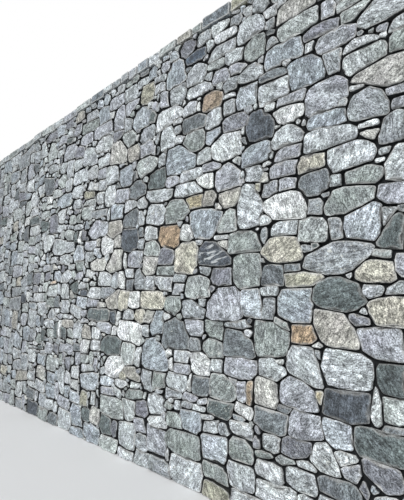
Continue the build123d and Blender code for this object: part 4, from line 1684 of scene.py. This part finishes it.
def buildFace(faceName, cornersTaken):
    face = faces[faceName]
    rng = random.Random(face["seed"])
    laid = []
    if faceName == "front":
        for tone, *numbers in laidStones:
            corners = [(numbers[i] / 100, numbers[i + 1] / 100) for i in range(0, len(numbers), 2)]
            grow = layout["growBeside" if corners[0][0] > layout["besideFrom"] else "growLaid"]
            laid.append(makeShape(corners, tone, grow, "laid"))
    rubble = packRubble(face, laid + cornersTaken, layout["gap"], layout["cell"], face["sizes"], rng)
    taken = laid + rubble + cornersTaken
    pins = packRubble(face, taken, layout["pinGap"], layout["pinCell"], layout["pinSizes"], rng)
    underCoping = faceName in ("front", "back")
    if underCoping:
        cornersTaken = cornersTaken + copingUndersides(faceName)
    corners = Yard(cornersTaken)
    yard = Yard(laid + rubble + pins)
    for shape in yard.shapes[:]:
        if not hasRoom(shape, yard.near(shape), corners.near(shape)):
            yard = Yard([other for other in yard.shapes if other is not shape])
    reachUp = layout["underCoping"] if underCoping else 0
    edge = makeShape([(u, v + reachUp * (v > 1)) for u, v in face["edge"]], "mid", 0, "edge")
    stray = strayMap(edge)
    ground = FreeGround(edge, fillers["cell"])
    for shape in cornersTaken:
        ground.coverShape(shape)
    placed = 0
    for shape in yard.shapes:
        own = random.Random(f"{faceName} {shape['centre'][0]:.3f} {shape['centre'][1]:.3f}")
        outline = traceOutline(shape, yard.near(shape), corners.near(shape), edge, stray, own)
        spacing = face["spacing"]
        for beyond, coarser in face.get("coarser", ()):
            if shape["centre"][0] < beyond:
                spacing = coarser
        if outline is not None and layStone(faceName, outline, shape["tone"], spacing, own):
            ground.coverOutline(outline)
            placed += 1
    small = gapOutlines(ground)
    for outline in small:
        layStone(faceName, outline, pickTone(rng), fillers["spacing"], rng)
    print(f"{faceName}: {placed} stones, {len(laid)} of them by hand, {len(small)} small ones in the gaps")


def buildAll():
    placed, taken = layCorners()
    for faceName in faces:
        buildFace(faceName, taken[faceName])
    for index, corner in enumerate(placed):
        own = random.Random(900 + index)
        points, triangles, wear = cornerMesh(corner, own)
        look = stoneLook(pickTone(own), own)
        name = ("right" if corner[0] > 0 else "left") + "_end_quoins"
        addStone(storeFor(name), points, triangles, look, wear, 0.0)
    for name in sorted(stores):
        piece = makeStonePiece(name, stores[name])
        if name.startswith("lift_"):
            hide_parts(f"facing_{name.rsplit('_', 1)[0]}")


buildAll()
buildCoping()


# The mortar behind the joints, painted near black as the shade in them
joints = {
    "recess": 0.056,  # m behind the face
    "cell": 0.09,
    "lumps": (0.12, 0.004),  # width and height
}


def buildJoints():
    recess, cell = joints["recess"], joints["cell"]
    wide, rise = joints["lumps"]
    for faceName, face in faces.items():
        edge = makeShape(face["edge"], "mid", 0, "edge")
        low, high = edge["low"], edge["high"]
        columns, rows = [math.ceil((high[k] - low[k]) / cell) for k in range(2)]
        corners = np.array(face["edge"])
        across = np.linspace(0, 1, columns + 1)
        upward = np.linspace(0, 1, rows + 1)
        s, t = [g.ravel() for g in np.meshgrid(across, upward)]
        foot = np.outer(1 - s, corners[0]) + np.outer(s, corners[1])
        head = np.outer(1 - s, corners[3]) + np.outer(s, corners[2])
        flat = foot * (1 - t)[:, None] + head * t[:, None]
        # drawn in from the outer edges by the recess, so that the four sheets meet at the corners
        atEnd = np.abs(2 * s - 1) > 0.999
        flat[:, 0] -= np.sign(s - 0.5) * atEnd * recess * 0.98
        lumps = latticeNoise(np.column_stack([flat, 0 * s]), wide, 17)
        depth = recess + rise * lumps * (~atEnd & (t > 0) & (t < 1))
        points = toSpace(face, np.column_stack([flat, depth]))
        index = np.arange((rows + 1) * (columns + 1)).reshape(rows + 1, columns + 1)
        a, b = index[:-1, :-1].ravel(), index[:-1, 1:].ravel()
        c, d = index[1:, 1:].ravel(), index[1:, :-1].ravel()
        triangles = np.vstack([np.column_stack([a, b, c]), np.column_stack([a, c, d])])
        makePiece(f"{faceName}_joint_mortar_painted_shade", points, triangles, mortarPaintedShadeMaterial)


buildJoints()
# the coping's mortar bed gets the same painted shade as the joints, the hearting its rubble colours
for nodeName, material in (("hearting", rubbleMaterial), ("coping_mortar", mortarPaintedShadeMaterial)):
    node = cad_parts[nodeName]
    node.data.materials.clear()
    node.data.materials.append(material)

# Floor, light and background
studio = {
    "floor": "#E4E5E6",
    "sky": 0.42,  # strength of the even light all round
    "front": 2.48,  # W/m2, the wide soft light high over the photographed face
    "back": 1.5,  # W/m2, the same behind
    "spread": 32,  # degrees across, which keeps the shadows soft
    "frontAim": (-0.15, 0.78, -0.61),
    "backAim": (0.15, -0.78, -0.61),
    "floorReach": 60,  # m
}


def addFloor():
    points = np.array([[-1, -1, 0], [1, -1, 0], [1, 1, 0], [-1, 1, 0]]) * studio["floorReach"]
    mesh = bpy.data.meshes.new("floor")
    mesh.from_pydata(points.tolist(), [], [(0, 1, 2, 3)])
    material, tree = newMaterial("paleFloor")
    shader = addNode(
        tree,
        "ShaderNodeBsdfPrincipled",
        {"Base Color": (*toLinear(studio["floor"]), 1), "Roughness": 0.9},
    )
    addNode(tree, "ShaderNodeOutputMaterial", {"Surface": shader.outputs["BSDF"]})
    mesh.materials.append(material)
    floor = bpy.data.objects.new("floor", mesh)
    bpy.context.collection.objects.link(floor)


def addLamp(name, towards, strength):
    data = bpy.data.lights.new(name, "SUN")
    data.energy = strength
    data.angle = math.radians(studio["spread"])
    lamp = bpy.data.objects.new(name, data)
    lamp.location = -10 * Vector(towards)
    lamp.rotation_euler = Vector(towards).to_track_quat("-Z", "Y").to_euler()
    bpy.context.collection.objects.link(lamp)


def addSky():
    world = bpy.data.worlds.new("studio")
    bpy.context.scene.world = world
    world.use_nodes = True
    tree = world.node_tree
    tree.nodes.clear()
    path = addNode(tree, "ShaderNodeLightPath").outputs
    seen = path["Is Camera Ray"]  # the white background shows there, and the light on the wall stays even
    for ray in ("Is Glossy Ray", "Is Transmission Ray"):
        seen = addNode(tree, "ShaderNodeMath", {0: seen, 1: path[ray]}, operation="MAXIMUM").outputs["Value"]
    lit = addNode(tree, "ShaderNodeBackground", {"Color": (1, 1, 1, 1), "Strength": studio["sky"]})
    shown = addNode(tree, "ShaderNodeBackground", {"Color": (1, 1, 1, 1), "Strength": 1.0})
    mix = addNode(
        tree,
        "ShaderNodeMixShader",
        {0: seen, 1: lit.outputs["Background"], 2: shown.outputs["Background"]},
    )
    addNode(tree, "ShaderNodeOutputWorld", {"Surface": mix.outputs["Shader"]})


addFloor()
addSky()
addLamp("frontLamp", studio["frontAim"], studio["front"])
addLamp("backLamp", studio["backAim"], studio["back"])
bpy.context.scene.view_settings.view_transform = "Standard"
